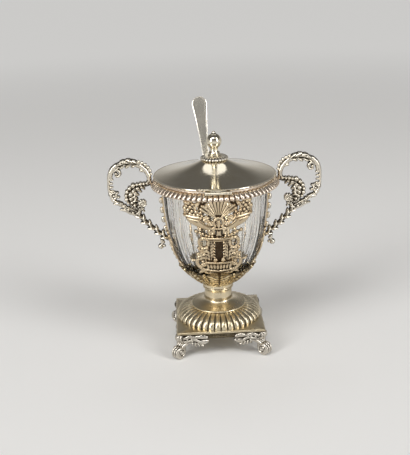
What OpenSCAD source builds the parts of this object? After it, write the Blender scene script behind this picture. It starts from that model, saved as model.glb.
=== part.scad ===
// Mustard pot: a cast and spun silver stand on four volute feet, an openwork basket round a glass
// liner, two loop handles, a hinged lid with a turned knob, and a spoon standing in the lid's notch.
// Millimetres, +Z up, the floor at z = 0, the hinge at the front (-Y) and the spoon at the back (+Y).

/* [Base] */
// From the floor to the underside of the plinth's band
foot_rise = 11;  // [9:0.5:16]
// Radius of the roll at the bottom of each foot
volute_r = 4;  // [3:0.1:5]
// Width of the roll along its own axis
volute_width = 5;  // [3:0.1:7]
// How far the roll's axis lies inside the plinth's corner, along the diagonal
volute_inset = 0.9;  // [0:0.1:4]
// Depth of the flat that is filed under each roll
pad_depth = 0.2;  // [0.1:0.05:0.6]
// Length of each leaf wing along the plinth's side
wing_length = 17.4;  // [12:0.2:20]
// Thickness of the leaf wings
wing_thick = 1.6;  // [1:0.1:3]
// Half the side of the square plinth
plinth_half = 25;  // [23:0.5:30]
// Thickness of the plinth's top plate
plate_thick = 1.1;  // [0.8:0.1:2]
// Height of the band under the top plate
band_height = 3.4;  // [2.5:0.1:6]
// How far the band stands back from the plate's edge
band_inset = 1;  // [0.5:0.1:2]
// Wall of the band
band_wall = 1.2;  // [0.8:0.1:2]

/* [Dome and stem] */
// Largest radius of the lobed dome
dome_r = 24.5;  // [20:0.1:24.8]
// Height of the dome
dome_height = 7;  // [5:0.1:10]
// Height of the dome's widest line above the plinth
dome_belly = 1;  // [1:0.1:2.5]
// Number of lobes round the dome
dome_lobes = 40;  // [24:1:48]
// Depth of the valleys between the dome's lobes
dome_depth = 1;  // [0.4:0.1:1.5]
// Wall of the dome
dome_wall = 1.4;  // [1.2:0.1:2]
// Radius of the skirt at the bottom of the stem
skirt_r = 15.8;  // [13:0.1:18]
// Height of the skirt's curve
skirt_height = 4.2;  // [3:0.1:6]
// Radius of the stem's shaft
stem_r = 7.9;  // [6:0.1:9]
// Height of the stem
stem_height = 13.8;  // [12:0.1:20]
// Radius of the flange at the top of the stem
flange_r = 8.8;  // [8:0.1:10]
// Wall of the stem
stem_wall = 1.3;  // [1:0.1:2]
// How far the fine rings stand out from the shaft
ring_out = 0.45;  // [0.2:0.05:0.8]

/* [Tie bolt] */
// Radius of the bolt that ties calyx, stem, dome and plinth together
bolt_r = 2;  // [1.5:0.1:2.5]
// Radial clearance round the bolt
bolt_clear = 0.1;  // [0.05:0.05:0.3]
// Radius of the bolt's head
bolt_head_r = 3.6;  // [3:0.1:5]
// Height of the bolt's head
bolt_head = 2.2;  // [1.5:0.1:3]
// Width across the flats of the nut
nut_flats = 7;  // [6:0.1:9]
// Height of the nut
nut_height = 3.2;  // [2:0.1:4]
// Radius of the washer
washer_r = 5;  // [4.5:0.1:7]
// Thickness of the washer
washer_thick = 0.8;  // [0.5:0.1:1.2]
// Length of thread that shows below the nut
bolt_past = 0.9;  // [0.5:0.1:1.5]

/* [Liner] */
// Outer radius of the glass at its rim
liner_r = 28.9;  // [26:0.1:30]
// Height of the glass
liner_height = 56;  // [50:0.5:62]
// Radius of the glass's flat underside
liner_foot_r = 8;  // [6:0.1:10]
// Wall of the glass
liner_wall = 2.2;  // [1.8:0.1:3]
// Thickness of the glass's floor
liner_floor = 3;  // [2:0.1:5]
// Number of cut flutes round the glass
flute_count = 24;  // [16:1:32]
// Depth of the flutes
flute_depth = 0.5;  // [0.2:0.05:0.8]
// Gap between the glass and the metal round it
liner_gap = 0.3;  // [0.2:0.05:0.6]
// Gap between the glass's underside and the bolt's head
liner_lift = 0.6;  // [0.3:0.1:1.5]

/* [Basket] */
// Thickness of the calyx's floor
calyx_floor = 1.3;  // [1:0.1:2]
// Height of the calyx
calyx_height = 12.2;  // [10:0.1:14]
// Wall of the calyx
calyx_wall = 1.3;  // [1:0.1:2]
// Number of leaves round the calyx
calyx_leaves = 8;  // [6:2:12]
// How far the leaves stand out from the calyx
leaf_rise = 0.7;  // [0.4:0.1:1.2]
// Thickness of the openwork's ground
ground_thick = 1;  // [0.7:0.1:1.5]
// How far the raised work stands on the ground
relief = 0.9;  // [0.5:0.1:1.4]
// Ribs of the scallop shell
shell_ribs = 9;  // [7:2:13]
// Beads in each column of the vase's neck
column_beads = 6;  // [4:1:8]
// Husks in each side strap above the handle
husk_count = 5;  // [4:1:7]

/* [Rim] */
// Height of the rim
rim_height = 3.8;  // [3:0.1:5]
// How far the rim reaches down over the glass
rim_cover = 1.8;  // [1:0.1:3]
// How far the ring's flat top stands out from its collar
rim_ledge = 0.6;  // [0.3:0.1:1.5]
// How far the gadroons stand out from the ring
gadroon_out = 3;  // [2:0.1:4]
// Number of gadroons round the rim
gadroon_count = 84;  // [60:2:96]
// Depth of the valleys between the gadroons
gadroon_depth = 0.7;  // [0.3:0.05:1]
// Distance of the upright collar's outer face from the glass's edge
collar_out = 3.5;  // [2.6:0.1:4.5]
// Wall of the upright collar
collar_wall = 1;  // [0.8:0.1:1.3]
// Height of the upright collar above the rim
collar_height = 1.4;  // [1.3:0.1:2.2]

/* [Lid] */
// Gap between the closed lid and the collar
lid_gap = 0.2;  // [0.15:0.05:0.5]
// How far the lid's edge stands out from the collar
lid_over = 1.9;  // [1.2:0.1:2.2]
// Height of the lid's upright edge
lid_edge = 0.9;  // [0.7:0.1:1.5]
// Height of the lid from the bottom of its edge to the seat of the finial
lid_height = 8.6;  // [7:0.1:14]
// Wall of the lid
lid_wall = 0.8;  // [0.6:0.1:1.1]
// Radius of the flat seat for the finial
seat_r = 7.2;  // [6:0.1:9]
// Radial gap between the bezel under the lid and the collar
bezel_gap = 0.4;  // [0.3:0.05:0.8]
// Wall of the bezel
bezel_wall = 0.9;  // [0.7:0.1:1.3]
// How far the bezel reaches below the lid's edge
bezel_drop = 1.5;  // [0.8:0.1:1.8]
// Half the width of the spoon's notch at its inner end
notch_half = 4;  // [3:0.1:5]
// Half the width of the notch at the lid's edge
notch_mouth = 5;  // [4:0.1:7]
// Distance of the notch's round end from the lid's axis
notch_reach = 24;  // [20:0.5:27]
// Turn of the notch towards the left of straight back, in degrees
notch_turn = 6;  // [0:1:10]

/* [Hinge] */
// Length of the hinge barrel
hinge_length = 14;  // [10:0.5:20]
// Radius of the knuckles
knuckle_r = 0.8;  // [0.6:0.05:0.85]
// Radius of the hinge pin
hinge_pin_r = 0.35;  // [0.25:0.05:0.4]
// Running clearance round the pin
pin_clear = 0.04;  // [0.02:0.01:0.1]
// Gap between neighbouring knuckles
knuckle_gap = 0.15;  // [0.1:0.05:0.3]
// Distance of the pin in front of the lid's edge
hinge_out = 1.3;  // [1.2:0.1:2]
// Thickness of the hinge's leaves
leaf_thick = 0.5;  // [0.4:0.05:0.7]

/* [Finial] */
// Radius of the lobed collar under the knob
finial_r = 7.85;  // [6:0.05:9]
// Height of the lobed collar
finial_height = 2.8;  // [2:0.1:4]
// Number of lobes round the collar
finial_lobes = 24;  // [16:1:32]
// Depth of the valleys between those lobes
finial_depth = 0.6;  // [0.3:0.05:0.9]
// Radius of the knob's ball
ball_r = 4.1;  // [3:0.1:5]
// Height of the ball's centre above the lobed collar
ball_rise = 8.1;  // [7:0.1:11]
// Radius of the knob's neck
neck_r = 2.7;  // [2.2:0.1:2.9]
// Radius of the knob's foot ring
knob_foot_r = 3.7;  // [3.2:0.1:4.5]
// Height of the tip above the ball
tip_height = 1.1;  // [0.6:0.1:2]
// Radius of the stud that holds the knob
stud_r = 1.5;  // [1.2:0.1:2]
// Radial clearance round the stud
stud_clear = 0.08;  // [0.05:0.01:0.2]
// Width across the flats of the knob's nut
stud_flats = 5.5;  // [5:0.1:7]
// Height of the knob's nut
stud_nut = 2.2;  // [1.6:0.1:3]

/* [Handles] */
// Radius of the handle's round loop
loop_r = 11.4;  // [9:0.1:13]
// How far the loop's centre lies outside the gadroons
loop_out = 11.1;  // [9.5:0.1:13]
// Height of the loop's centre above the rim's underside
loop_up = 3.4;  // [2:0.1:6]
// Height of the handle's lower end below the rim's underside
handle_drop = 30;  // [24:0.5:36]
// Thinnest radius of the handle's scroll
scroll_r = 1.2;  // [1:0.05:1.6]
// Thickest radius of the handle's scroll
scroll_leaf_r = 2.1;  // [1.8:0.05:2.6]
// Radius of the rosette in the flower spray
rosette_r = 2.9;  // [2:0.1:3.5]
// Radius of the pearls on the loop
pearl_r = 0.75;  // [0.5:0.05:1]
// Radius of the smallest berries in the flower spray
berry_r = 1.3;  // [1:0.1:1.6]
// Radius of the ball on the handle's tail
tail_ball_r = 1.6;  // [1.2:0.1:2.2]

/* [Spoon] */
// Length of the spoon
spoon_length = 99.4;  // [94:0.1:104]
// Length of the spoon's bowl
bowl_length = 21;  // [16:0.5:26]
// Half the width of the bowl
bowl_half = 6.6;  // [5:0.1:8]
// Depth of the bowl
bowl_depth = 3;  // [2:0.1:4]
// Half the width of the stem above the bowl
shank_half = 1.25;  // [1:0.05:1.6]
// Half the width of the handle's end
spoon_end_half = 4.9;  // [3:0.1:5.5]
// Thickness of the spoon
spoon_thick = 1.2;  // [0.9:0.1:1.6]
// How far the spoon leans back, in degrees
spoon_back = 19;  // [16:0.5:21]
// How far the spoon leans to the left, in degrees
spoon_side = 5.1;  // [3:0.1:7]
// Gap between the spoon's bowl and the glass's floor
spoon_gap = 0.45;  // [0.4:0.05:3]

/* [Hidden] */
$fn = 48;
// Gap left for solder between pieces of one body
solder = 0.03;
// Heights of the pieces, from the floor up
plate_z = foot_rise + band_height;
plinth_z = plate_z + plate_thick;
stem_z = plinth_z + dome_height;
calyx_z = stem_z + stem_height;
basket_z = calyx_z + calyx_height;
liner_z = calyx_z + calyx_floor + bolt_head + liner_lift;
rim_z = liner_z + liner_height - rim_cover;
rim_top = rim_z + rim_height;
lid_z = rim_top + collar_height + lid_gap;
finial_z = lid_z + lid_height;
knob_z = finial_z + finial_height;
panel_height = rim_z - basket_z;
// Scale of the panels' ornament, which is drawn for a basket 46.1 high
art_scale = panel_height / 46.1;
collar_r = liner_r + collar_out;
rim_ring_r = collar_r + rim_ledge;
gadroon_r = rim_ring_r + gadroon_out;
lid_r = collar_r + lid_over;
volute_z = volute_r - pad_depth;
corner_out = plinth_half * sqrt(2);
volute_out = corner_out - volute_inset;
band_half = plinth_half - band_inset;
bolt_hole_r = bolt_r + bolt_clear;
stud_hole_r = stud_r + stud_clear;
hinge_y = -(lid_r + hinge_out);
hinge_z = lid_z + lid_edge - leaf_thick - knuckle_gap - knuckle_r;
knuckle_bore = hinge_pin_r + pin_clear;
knuckle_pitch = hinge_length / 5;
bezel_r = collar_r - collar_wall - bezel_gap;
loop_x = gadroon_r + loop_out;
loop_z = rim_z + loop_up;
// Scale of the handle's small parts, which are drawn for a loop of radius 11.4
loop_scale = loop_r / 11.4;
ornament_r = ground_thick + relief + liner_gap;
spoon_foot = [0.0623 * liner_r, 0.1522 * liner_r, liner_z + liner_floor + spoon_gap];

// A cubic curve through four control points, as n + 1 points
function curve(p, n) = [
    for (i = [0:n])
        let (t = i / n, u = 1 - t)
            u * u * u * p[0] + 3 * u * u * t * p[1] + 3 * u * t * t * p[2] + t * t * t * p[3]
];
// A circular arc from angle a to angle b, as n + 1 points
function arc(c, r, a, b, n) = [for (i = [0:n]) c + r * [cos(a + (b - a) * i / n), sin(a + (b - a) * i / n)]];
// Direction of a line of points at point i
function along(l, i) =
    let (d = l[min(i + 1, len(l) - 1)] - l[max(i - 1, 0)])
        d / norm(d);
// A line of points moved sideways by d, to the left of its direction
function beside(l, d) = [for (i = [0:len(l) - 1]) l[i] + d * [-along(l, i)[1], along(l, i)[0]]];
function reversed(l) = [for (i = [len(l) - 1:-1:0]) l[i]];
// Swell of one lobe, from 0 at its valleys to 1 at its crest
function swell(t) = sqrt(1 - pow(2 * t - 1, 2));

// Outer curve of the glass, from its rim down to its foot
bowl_curve = curve([
    [liner_r, liner_z + liner_height],
    [liner_r + 0.7, liner_z + 0.6 * liner_height],
    [liner_r - 3.9, liner_z + 3.6],
    [liner_foot_r, liner_z]
], 14);
// Radius of the bowl at height z, d outside the glass
function bowl_r(z, d) =
    let (l = beside(bowl_curve, d), k = [for (p = l) [p[1], p[0]]])
        lookup(z, reversed(k));

// A body of revolution with lobes: profile rows are [radius, height, lobe depth], from the bottom up
module lobed(profile, lobes, steps, fluted = false) {
    n = lobes * steps;
    m = len(profile);
    points = [
        for (row = profile)
            for (j = [0:n - 1])
                let (s = swell((j % steps) / steps), r = row[0] - row[2] * (fluted ? s : 1 - s), a = 360 * j / n)
                    [r * cos(a), r * sin(a), row[1]]
    ];
    sides = [
        for (i = [0:m - 2])
            for (j = [0:n - 1])
                let (k = (j + 1) % n)
                    [i * n + j, (i + 1) * n + j, (i + 1) * n + k, i * n + k]
    ];
    floor_face = [for (j = [0:n - 1]) j];
    top_face = [for (j = [n - 1:-1:0]) (m - 1) * n + j];
    polyhedron(points, concat(sides, [floor_face, top_face]), convexity = 6);
}

// A round bar along a path of [x, z] points in the plane y = 0, with one radius per point
module bar(path, radii, sides = 8) {
    n = len(path);
    points = [
        for (i = [0:n - 1])
            let (d = along(path, i))
                for (k = [0:sides - 1])
                    let (a = 360 * k / sides, c = radii[i] * cos(a))
                        [path[i][0] - c * d[1], radii[i] * sin(a), path[i][1] + c * d[0]]
    ];
    walls = [
        for (i = [0:n - 2])
            for (k = [0:sides - 1])
                let (q = (k + 1) % sides)
                    [i * sides + k, i * sides + q, (i + 1) * sides + q, (i + 1) * sides + k]
    ];
    first = [for (k = [sides - 1:-1:0]) k];
    last = [for (k = [0:sides - 1]) (n - 1) * sides + k];
    polyhedron(points, concat(walls, [first, last]), convexity = 8);
}

// A flat ribbon along a path, its width running from w0 to w1
module ribbon(path, w0, w1) {
    n = len(path) - 1;
    left = [for (i = [0:n]) path[i] + (w0 + (w1 - w0) * i / n) / 2 * [-along(path, i)[1], along(path, i)[0]]];
    right = [for (i = [0:n]) path[i] - (w0 + (w1 - w0) * i / n) / 2 * [-along(path, i)[1], along(path, i)[0]]];
    polygon(concat(left, reversed(right)));
}

module both_sides() {
    children();
    mirror([1, 0]) children();
}

module hex_nut(flats, height, bore) {
    difference() {
        cylinder(r = flats / sqrt(3), h = height, $fn = 6);
        translate([0, 0, -1]) cylinder(r = bore, h = height + 2);
    }
}

// One foot at the corner in +X, +Y: a ridged roll, a bracket up to the plinth and two leaf wings
module volute_roll() {
    ridge = volute_width / 6 * 1.12;
    translate([volute_out, 0, volute_z]) rotate([90, 0, 0]) {
        rotate_extrude() {
            translate([0, -volute_width / 2]) square([volute_r - ridge, volute_width]);
            for (k = [-1:1]) translate([volute_r - ridge, k * (volute_width / 2 - ridge)]) circle(r = ridge);
        }
        for (side = [0, 1]) mirror([0, 0, side]) translate([0, 0, volute_width / 2 - 0.1]) linear_extrude(0.6)
            volute_spiral();
    }
}

module volute_spiral() {
    turns = [for (i = [0:30]) (volute_r - 1.1) * (1 - 0.85 * i / 30) * [cos(90 - 20 * i), sin(90 - 20 * i)]];
    ribbon(turns, 0.8, 0.45);
    circle(r = 0.75);
}

module foot_bracket() {
    outer = curve([
        [volute_out + 1.6, volute_z + volute_r - 1.4],
        [volute_out - 2.4, volute_z + volute_r + 1.2],
        [volute_out - 1.2, foot_rise - 0.2],
        [corner_out + 0.6, plate_z - 1.6]
    ], 7);
    inner = curve([
        [volute_out - 7, foot_rise - solder],
        [volute_out - 6.4, foot_rise - 3],
        [volute_out - 6, volute_z],
        [volute_out - 2, volute_z - 0.8]
    ], 6);
    top = [[corner_out + 0.3, plate_z - solder], [volute_out - 7, plate_z - solder]];
    rotate([90, 0, 0]) linear_extrude(volute_width - 0.6, center = true) polygon(concat(outer, top, inner));
}

module wing_outline() {
    ribbon(curve([[0, 12.4], [5, 12.6], [9, 10], [wing_length - 2.6, 11.6]], 8), 2.6, 4.4);
    ribbon(curve([[2, 12], [5, 11.5], [6.5, 9], [wing_length - 3.4, 9]], 8), 2, 3.4);
    for (lobe = [[2.4, 12.1, 1.7], [2, 9.4, 1.6], [4.4, 8.4, 1.5], [7.4, 8.7, 1.3]])
        translate([wing_length - lobe[0], lobe[1]]) circle(r = lobe[2]);
}

module foot_wing() {
    translate([band_half + solder, plinth_half, foot_rise - 11])
        rotate([90, 0, -90]) mirror([0, 0, 1]) linear_extrude(wing_thick) wing_outline();
}

module foot() {
    difference() {
        union() {
            rotate(45) {
                volute_roll();
                foot_bracket();
            }
            foot_wing();
            mirror([1, -1, 0]) foot_wing();
        }
        translate([-band_half - solder, -band_half - solder, foot_rise - solder])
            cube([2 * (band_half + solder), 2 * (band_half + solder), band_height + 1]);
        translate([0, 0, -volute_r]) linear_extrude(volute_r) square(4 * plinth_half, center = true);
        translate([0, 0, plate_z - solder]) linear_extrude(4) square(4 * plinth_half, center = true);
    }
}

module foot_back_right() color("silver") foot();

module foot_back_left() color("silver") rotate(90) foot();

module foot_front_left() color("silver") rotate(180) foot();

module foot_front_right() color("silver") rotate(270) foot();

// The folded band under the plinth's plate, open below
module plinth_band() color("darkkhaki") translate([0, 0, foot_rise]) linear_extrude(band_height - solder)
    difference() {
        square(2 * band_half, center = true);
        square(2 * (band_half - band_wall), center = true);
    }

module plinth_plate() color("darkkhaki") translate([0, 0, plate_z]) linear_extrude(plate_thick) difference() {
    square(2 * plinth_half, center = true);
    circle(r = bolt_hole_r);
}

// The spun and lobed dome, hollow below
dome_neck = skirt_r - 0.7;
dome_rows = [
    for (a = [-30:20:90])
        [
            dome_neck + (dome_r - dome_neck) * cos(a),
            plinth_z + dome_belly + (a < 0 ? dome_belly / sin(30) : dome_height - dome_belly) * sin(a),
            a < -20 ? 0 : dome_depth * (0.12 + 0.88 * cos(a))
        ]
];

module dome() color("khaki") difference() {
    lobed(dome_rows, dome_lobes, 4);
    hollow = dome_rows[0][0] - dome_depth - dome_wall;
    translate([0, 0, plinth_z - 1]) cylinder(r1 = hollow, r2 = dome_neck, h = dome_height - dome_wall + 1);
    translate([0, 0, plinth_z]) cylinder(r = bolt_hole_r, h = dome_height + 1);
}

// The spool stem: a flared skirt, fine rings, a plain shaft and a flange, hollow inside
module stem() color("khaki") translate([0, 0, stem_z]) difference() {
    rotate_extrude() polygon(concat(
        [[0, 0], [skirt_r - 0.2, 0], [skirt_r, 0.3], [skirt_r, 0.8], [skirt_r - 0.4, 1.1]],
        curve([
            [skirt_r - 0.8, 1.1],
            [stem_r + 3, 1.4],
            [stem_r + 0.4, skirt_height - 1.6],
            [stem_r, skirt_height]
        ], 8),
        [for (k = [0:2], p = [[ring_out, 0], [ring_out, 0.3], [0, 0.3], [0, 0.55]])
            [stem_r + p[0], skirt_height + 0.55 * k + p[1]]],
        [
            [stem_r, stem_height - 3.4],
            [flange_r, stem_height - 3.1],
            [flange_r, stem_height - 2.4],
            [stem_r + 0.2, stem_height - 2.1],
            [flange_r - 0.4, stem_height - 0.1],
            [flange_r - 0.5, stem_height],
            [0, stem_height]
        ]
    ));
    translate([0, 0, 1]) cylinder(r = stem_r - stem_wall, h = stem_height - 2.5);
    translate([0, 0, -1]) cylinder(r = bolt_hole_r, h = stem_height + 2);
}

// The cup that carries the basket and holds the foot of the glass
module calyx_cup() {
    inside = [for (p = beside(bowl_curve, liner_gap)) if (p[1] < basket_z - 0.4 && p[1] > liner_z + 0.6) p];
    outside = [for (p = beside(bowl_curve, liner_gap + calyx_wall)) if (p[1] < basket_z - 0.4 && p[0] > 13) p];
    rotate_extrude() polygon(concat(
        [
            [bolt_hole_r, calyx_z],
            [flange_r - 0.6, calyx_z],
            [flange_r + 0.2, calyx_z + 0.6]
        ],
        reversed(outside),
        [
            [bowl_r(basket_z, liner_gap + calyx_wall), basket_z - solder],
            [bowl_r(basket_z, liner_gap), basket_z - solder]
        ],
        inside,
        [
            [liner_foot_r - 0.6, liner_z - liner_gap],
            [bolt_head_r + 0.6, calyx_z + calyx_floor],
            [bolt_hole_r, calyx_z + calyx_floor]
        ]
    ));
}

// One leaf of the calyx, drawn flat, its tip up
module calyx_leaf() {
    leaf = curve([[1.3, liner_z + 1], [4.4, liner_z + 3], [5.4, basket_z - 1.5], [0, basket_z + 1.6]], 8);
    polygon(concat(leaf, reversed([for (p = leaf) [-p[0], p[1]]])));
}

module calyx() color("silver") {
    calyx_cup();
    low = liner_gap + calyx_wall - 0.3;
    wall = [for (p = bowl_curve) if (p[1] < basket_z + 6) p];
    for (k = [0:calyx_leaves - 1]) rotate(360 * (k + 0.5) / calyx_leaves) intersection() {
        rotate([90, 0, 0]) linear_extrude(liner_r) calyx_leaf();
        rotate_extrude() polygon(concat(beside(wall, low), reversed(beside(wall, low + 0.3 + leaf_rise))));
        translate([-liner_r, -liner_r, calyx_z]) cube([2 * liner_r, liner_r, calyx_height - solder]);
    }
}

module tie_bolt() color("dimgray") {
    translate([0, 0, calyx_z + calyx_floor]) cylinder(r = bolt_head_r, h = bolt_head);
    end_z = plate_z - washer_thick - nut_height - bolt_past;
    translate([0, 0, end_z]) cylinder(r = bolt_r, h = calyx_z + calyx_floor + 0.5 - end_z);
}

module tie_washer() color("dimgray") translate([0, 0, plate_z - washer_thick]) linear_extrude(washer_thick)
    difference() {
        circle(r = washer_r);
        circle(r = bolt_hole_r);
    }

module tie_nut() color("dimgray") translate([0, 0, plate_z - washer_thick - nut_height])
    hex_nut(nut_flats, nut_height, bolt_r + 0.01);

// The glass cup, cut with long flutes outside and plain inside
module glass_liner() color("lightcyan", 0.5) {
    rows = [for (p = reversed(bowl_curve)) [p[0], p[1], p[0] < 12 || p[0] == liner_r ? 0.05 : flute_depth]];
    inner = [for (p = beside(bowl_curve, -liner_wall)) if (p[1] > liner_z + liner_floor + 1) p];
    difference() {
        lobed(rows, flute_count, 4, fluted = true);
        rotate_extrude() polygon(concat(
            [[0, liner_z + liner_height + 1], [liner_r - liner_wall, liner_z + liner_height + 1]],
            inner,
            [[liner_foot_r, liner_z + liner_floor], [0, liner_z + liner_floor]]
        ));
    }
}

// Ornament of the panels, drawn flat with its origin under the middle of the rim
fan_foot = [0, -11.3];
fan_r = 11.6;
fan_spread = 132;

module shell_fan() {
    steps = 4 * shell_ribs;
    edge = [
        for (k = [0:steps])
            let (a = 90 + fan_spread * (k / steps - 0.5), r = fan_r * (0.94 + 0.06 * swell((k % 4) / 4)))
                fan_foot + r * [cos(a), sin(a)]
    ];
    polygon(concat(edge, [fan_foot + [-1.5, -1], fan_foot + [1.5, -1]]));
}

module shell_ribs() {
    pitch = fan_spread / shell_ribs;
    for (k = [0:shell_ribs - 1]) translate(fan_foot) rotate(fan_spread * ((k + 0.5) / shell_ribs - 0.5))
        polygon([
            [-4.4 * tan(pitch * 0.32), 4.4],
            [4.4 * tan(pitch * 0.32), 4.4],
            [9.6 * tan(pitch * 0.34), 9.6],
            [0, 10.9],
            [-9.6 * tan(pitch * 0.34), 9.6]
        ]);
}

// A bunch of fruit with a scalloped edge
module bunch(r) {
    polygon([for (k = [0:31]) (r - 0.5 + 0.5 * swell((k % 4) / 4)) * [cos(11.25 * k), sin(11.25 * k)]]);
}

horn_line = curve([[13.6, -10.4], [12.4, -14.4], [8, -17.2], [1, -18.8]], 8);

module horn() {
    ribbon(horn_line, 7, 1.8);
    ribbon([[9.2, -11], [17.8, -9.4]], 2.4, 2.4);
    translate([14.2, -6.2]) bunch(4.6);
}

module horn_raised() {
    ribbon([for (k = [1:7]) horn_line[k]], 4.6, 1.4);
    ribbon([[9.8, -10.8], [17.3, -9.4]], 1.2, 1.2);
    for (fruit = [[11.5, -7.2, 1.1], [14, -7, 1.3], [16.7, -6.6, 1.2], [12.9, -4.1, 1.3], [15.8, -3.8, 1.2]])
        translate([fruit[0], fruit[1]]) circle(r = fruit[2]);
}

// The vase: a bar, two columns with a slot between them, a ribbed bowl and a spread foot
module vase() {
    half = [
        [6.4, -21.2],
        [6.4, -23.4],
        [5.4, -30],
        [6.3, -36.8],
        [7.6, -36.8],
        [7.6, -38.4],
        [5.2, -42.4],
        [7.2, -47.1]
    ];
    difference() {
        polygon(concat(half, reversed([for (p = half) [-p[0], p[1]]])));
        translate([-1.3, -36]) square([2.6, 12]);
    }
    translate([-1.4, -22]) square([2.8, 7]);
}

module vase_raised() {
    translate([-5.9, -22.8]) square([11.8, 1]);
    for (k = [0:column_beads - 1], side = [-1, 1])
        translate([2.6 * side, -24.4 - 11.6 * (k + 0.5) / column_beads]) circle(r = 0.85);
    translate([-6.9, -38]) square([13.8, 0.8]);
    for (k = [-2:2]) polygon([
        [2.5 * k - 0.8, -38.8],
        [2.5 * k + 0.8, -38.8],
        [1.9 * k + 0.55, -42],
        [1.9 * k - 0.55, -42]
    ]);
}

module panel_ground() {
    shell_fan();
    translate([0, -13.4]) circle(r = 3);
    vase();
    both_sides() {
        translate([5.2, -12.4]) circle(r = 2.5);
        horn();
        ribbon(curve([[0.6, -19.6], [5, -21.2], [9, -21.2], [12.8, -18.6]], 6), 2.2, 1.6);
        ribbon(arc([7.2, -25.9], 4, 110, -115, 10), 2, 1.7);
        ribbon(curve([[5, -32.4], [8, -31], [10, -31], [10.6, -33]], 5), 1.8, 1.6);
        translate([10.6, -33.4]) circle(r = 2.5);
        ribbon(curve([[10.8, -34], [14.4, -37.5], [11.5, -43.4], [4, -43.8]], 8), 2, 2.4);
    }
}

module panel_raised() {
    shell_ribs();
    translate([0, -13.4]) circle(r = 2.1);
    vase_raised();
    both_sides() {
        translate([5.4, -12.4]) circle(r = 1.6);
        horn_raised();
        translate([10.6, -33.4]) circle(r = 1.5);
        ribbon(curve([[11.7, -36.6], [12.9, -39], [11, -42.6], [6.6, -43.4]], 6), 0.9, 0.9);
    }
}

module strap_ground() {
    drop = handle_drop / art_scale;
    translate([-2.4, -47]) square([4.8, 47]);
    translate([0, -drop]) circle(r = 4.2);
    both_sides() {
        ribbon(curve([[1.6, -drop], [7, -drop - 4], [7, -41], [1, -43]], 8), 2.2, 2.2);
        polygon([[0, -42], [3, -42], [5.5, -47], [0, -47]]);
    }
}

module strap_raised() {
    pitch = (handle_drop / art_scale - 4.6) / husk_count;
    for (k = [0:husk_count - 1]) translate([0, -0.4 - pitch * (k + 0.5)]) scale([0.62, 1]) circle(r = pitch * 0.47);
    for (k = [0:2]) translate([0, -36.4 - 3 * k]) circle(r = 1.3);
}

// A layer of ornament on the basket's front, from the glass's side out to the given height
module basket_layer(low, high) {
    wall = [for (k = [0:2:12]) bowl_curve[k]];
    intersection() {
        translate([0, 0, rim_z]) rotate([90, 0, 0]) linear_extrude(gadroon_r) scale(art_scale) children();
        rotate_extrude() polygon(concat(beside(wall, low), reversed(beside(wall, high))));
        translate([-gadroon_r, -gadroon_r, basket_z]) cube([2 * gadroon_r, gadroon_r, panel_height - solder]);
    }
}

module panel() {
    basket_layer(liner_gap, liner_gap + ground_thick) panel_ground();
    basket_layer(liner_gap + ground_thick / 2, ornament_r) panel_raised();
}

module strap() {
    basket_layer(liner_gap, liner_gap + ground_thick) strap_ground();
    basket_layer(liner_gap + ground_thick / 2, ornament_r) strap_raised();
}

module front_panel() color("silver") panel();

module back_panel() color("silver") rotate(180) panel();

module right_strap() color("silver") rotate(90) strap();

module left_strap() color("silver") rotate(-90) strap();

// The plain ring of the rim with its upright collar
module rim_ring() color("silver") {
    bore = liner_r + liner_gap + 0.4;
    rotate_extrude() polygon([
        [bore, rim_z],
        [rim_ring_r, rim_z],
        [rim_ring_r, rim_top],
        [collar_r, rim_top],
        [collar_r, rim_top + collar_height],
        [collar_r - collar_wall, rim_top + collar_height],
        [collar_r - collar_wall, rim_top - 0.6],
        [bore, rim_top - 0.6]
    ]);
}

// The gadrooned border soldered round the ring
module gadroon_border() color("rosybrown") {
    swing = gadroon_r - rim_ring_r - 0.2;
    rows = [
        for (a = [-75:30:75])
            [rim_ring_r + 0.2 + swing * cos(a), rim_z + rim_height / 2 * (1 + sin(a) * 0.98), gadroon_depth * cos(a)]
    ];
    difference() {
        lobed(rows, gadroon_count, 3);
        translate([0, 0, rim_z - 1]) cylinder(r = rim_ring_r + solder, h = rim_height + 2);
    }
}

// Hinge: three knuckles on the rim, two on the lid, one pin
module knuckle(slot, leaf) {
    length = knuckle_pitch - knuckle_gap;
    translate([knuckle_pitch * slot - length / 2, hinge_y, hinge_z]) rotate([90, 0, 90]) linear_extrude(length)
        difference() {
            union() {
                circle(r = knuckle_r);
                polygon(leaf);
            }
            circle(r = knuckle_bore);
        }
}

module rim_hinge() color("gray") {
    low = rim_top - hinge_z + 0.1;
    reach = -collar_r - hinge_y + 0.4;
    leaf = [[-0.2, low + 0.1], [0.2, low], [reach, low], [reach, low + leaf_thick], [0.5, -0.5]];
    clear_y = hinge_y + knuckle_r + knuckle_gap;
    difference() {
        union() {
            for (slot = [-2:2:2]) knuckle(slot, leaf);
            translate([-hinge_length / 2, clear_y, hinge_z + low])
                cube([hinge_length, -collar_r + 0.4 - clear_y, leaf_thick]);
        }
        translate([0, 0, rim_top - 1]) cylinder(r = collar_r + solder, h = collar_height + 2);
    }
}

module lid_hinge() color("gray") {
    high = knuckle_r + knuckle_gap;
    leaf = [[-0.1, 0.5], [0.5, 0.5], [0.6, high], [0.6, high + leaf_thick], [-0.1, knuckle_r]];
    difference() {
        union() {
            for (slot = [-1:2:1]) knuckle(slot, leaf);
            translate([-knuckle_pitch * 1.5 + knuckle_gap / 2, hinge_y + 0.3, hinge_z + high])
                cube([knuckle_pitch * 3 - knuckle_gap, hinge_out + 0.6, leaf_thick]);
        }
        translate([0, 0, lid_z - 1]) cylinder(r = lid_r + solder, h = lid_edge + 2);
    }
}

module hinge_pin() color("dimgray") translate([-hinge_length / 2, hinge_y, hinge_z]) rotate([0, 90, 0])
    cylinder(r = hinge_pin_r, h = hinge_length);

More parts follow.
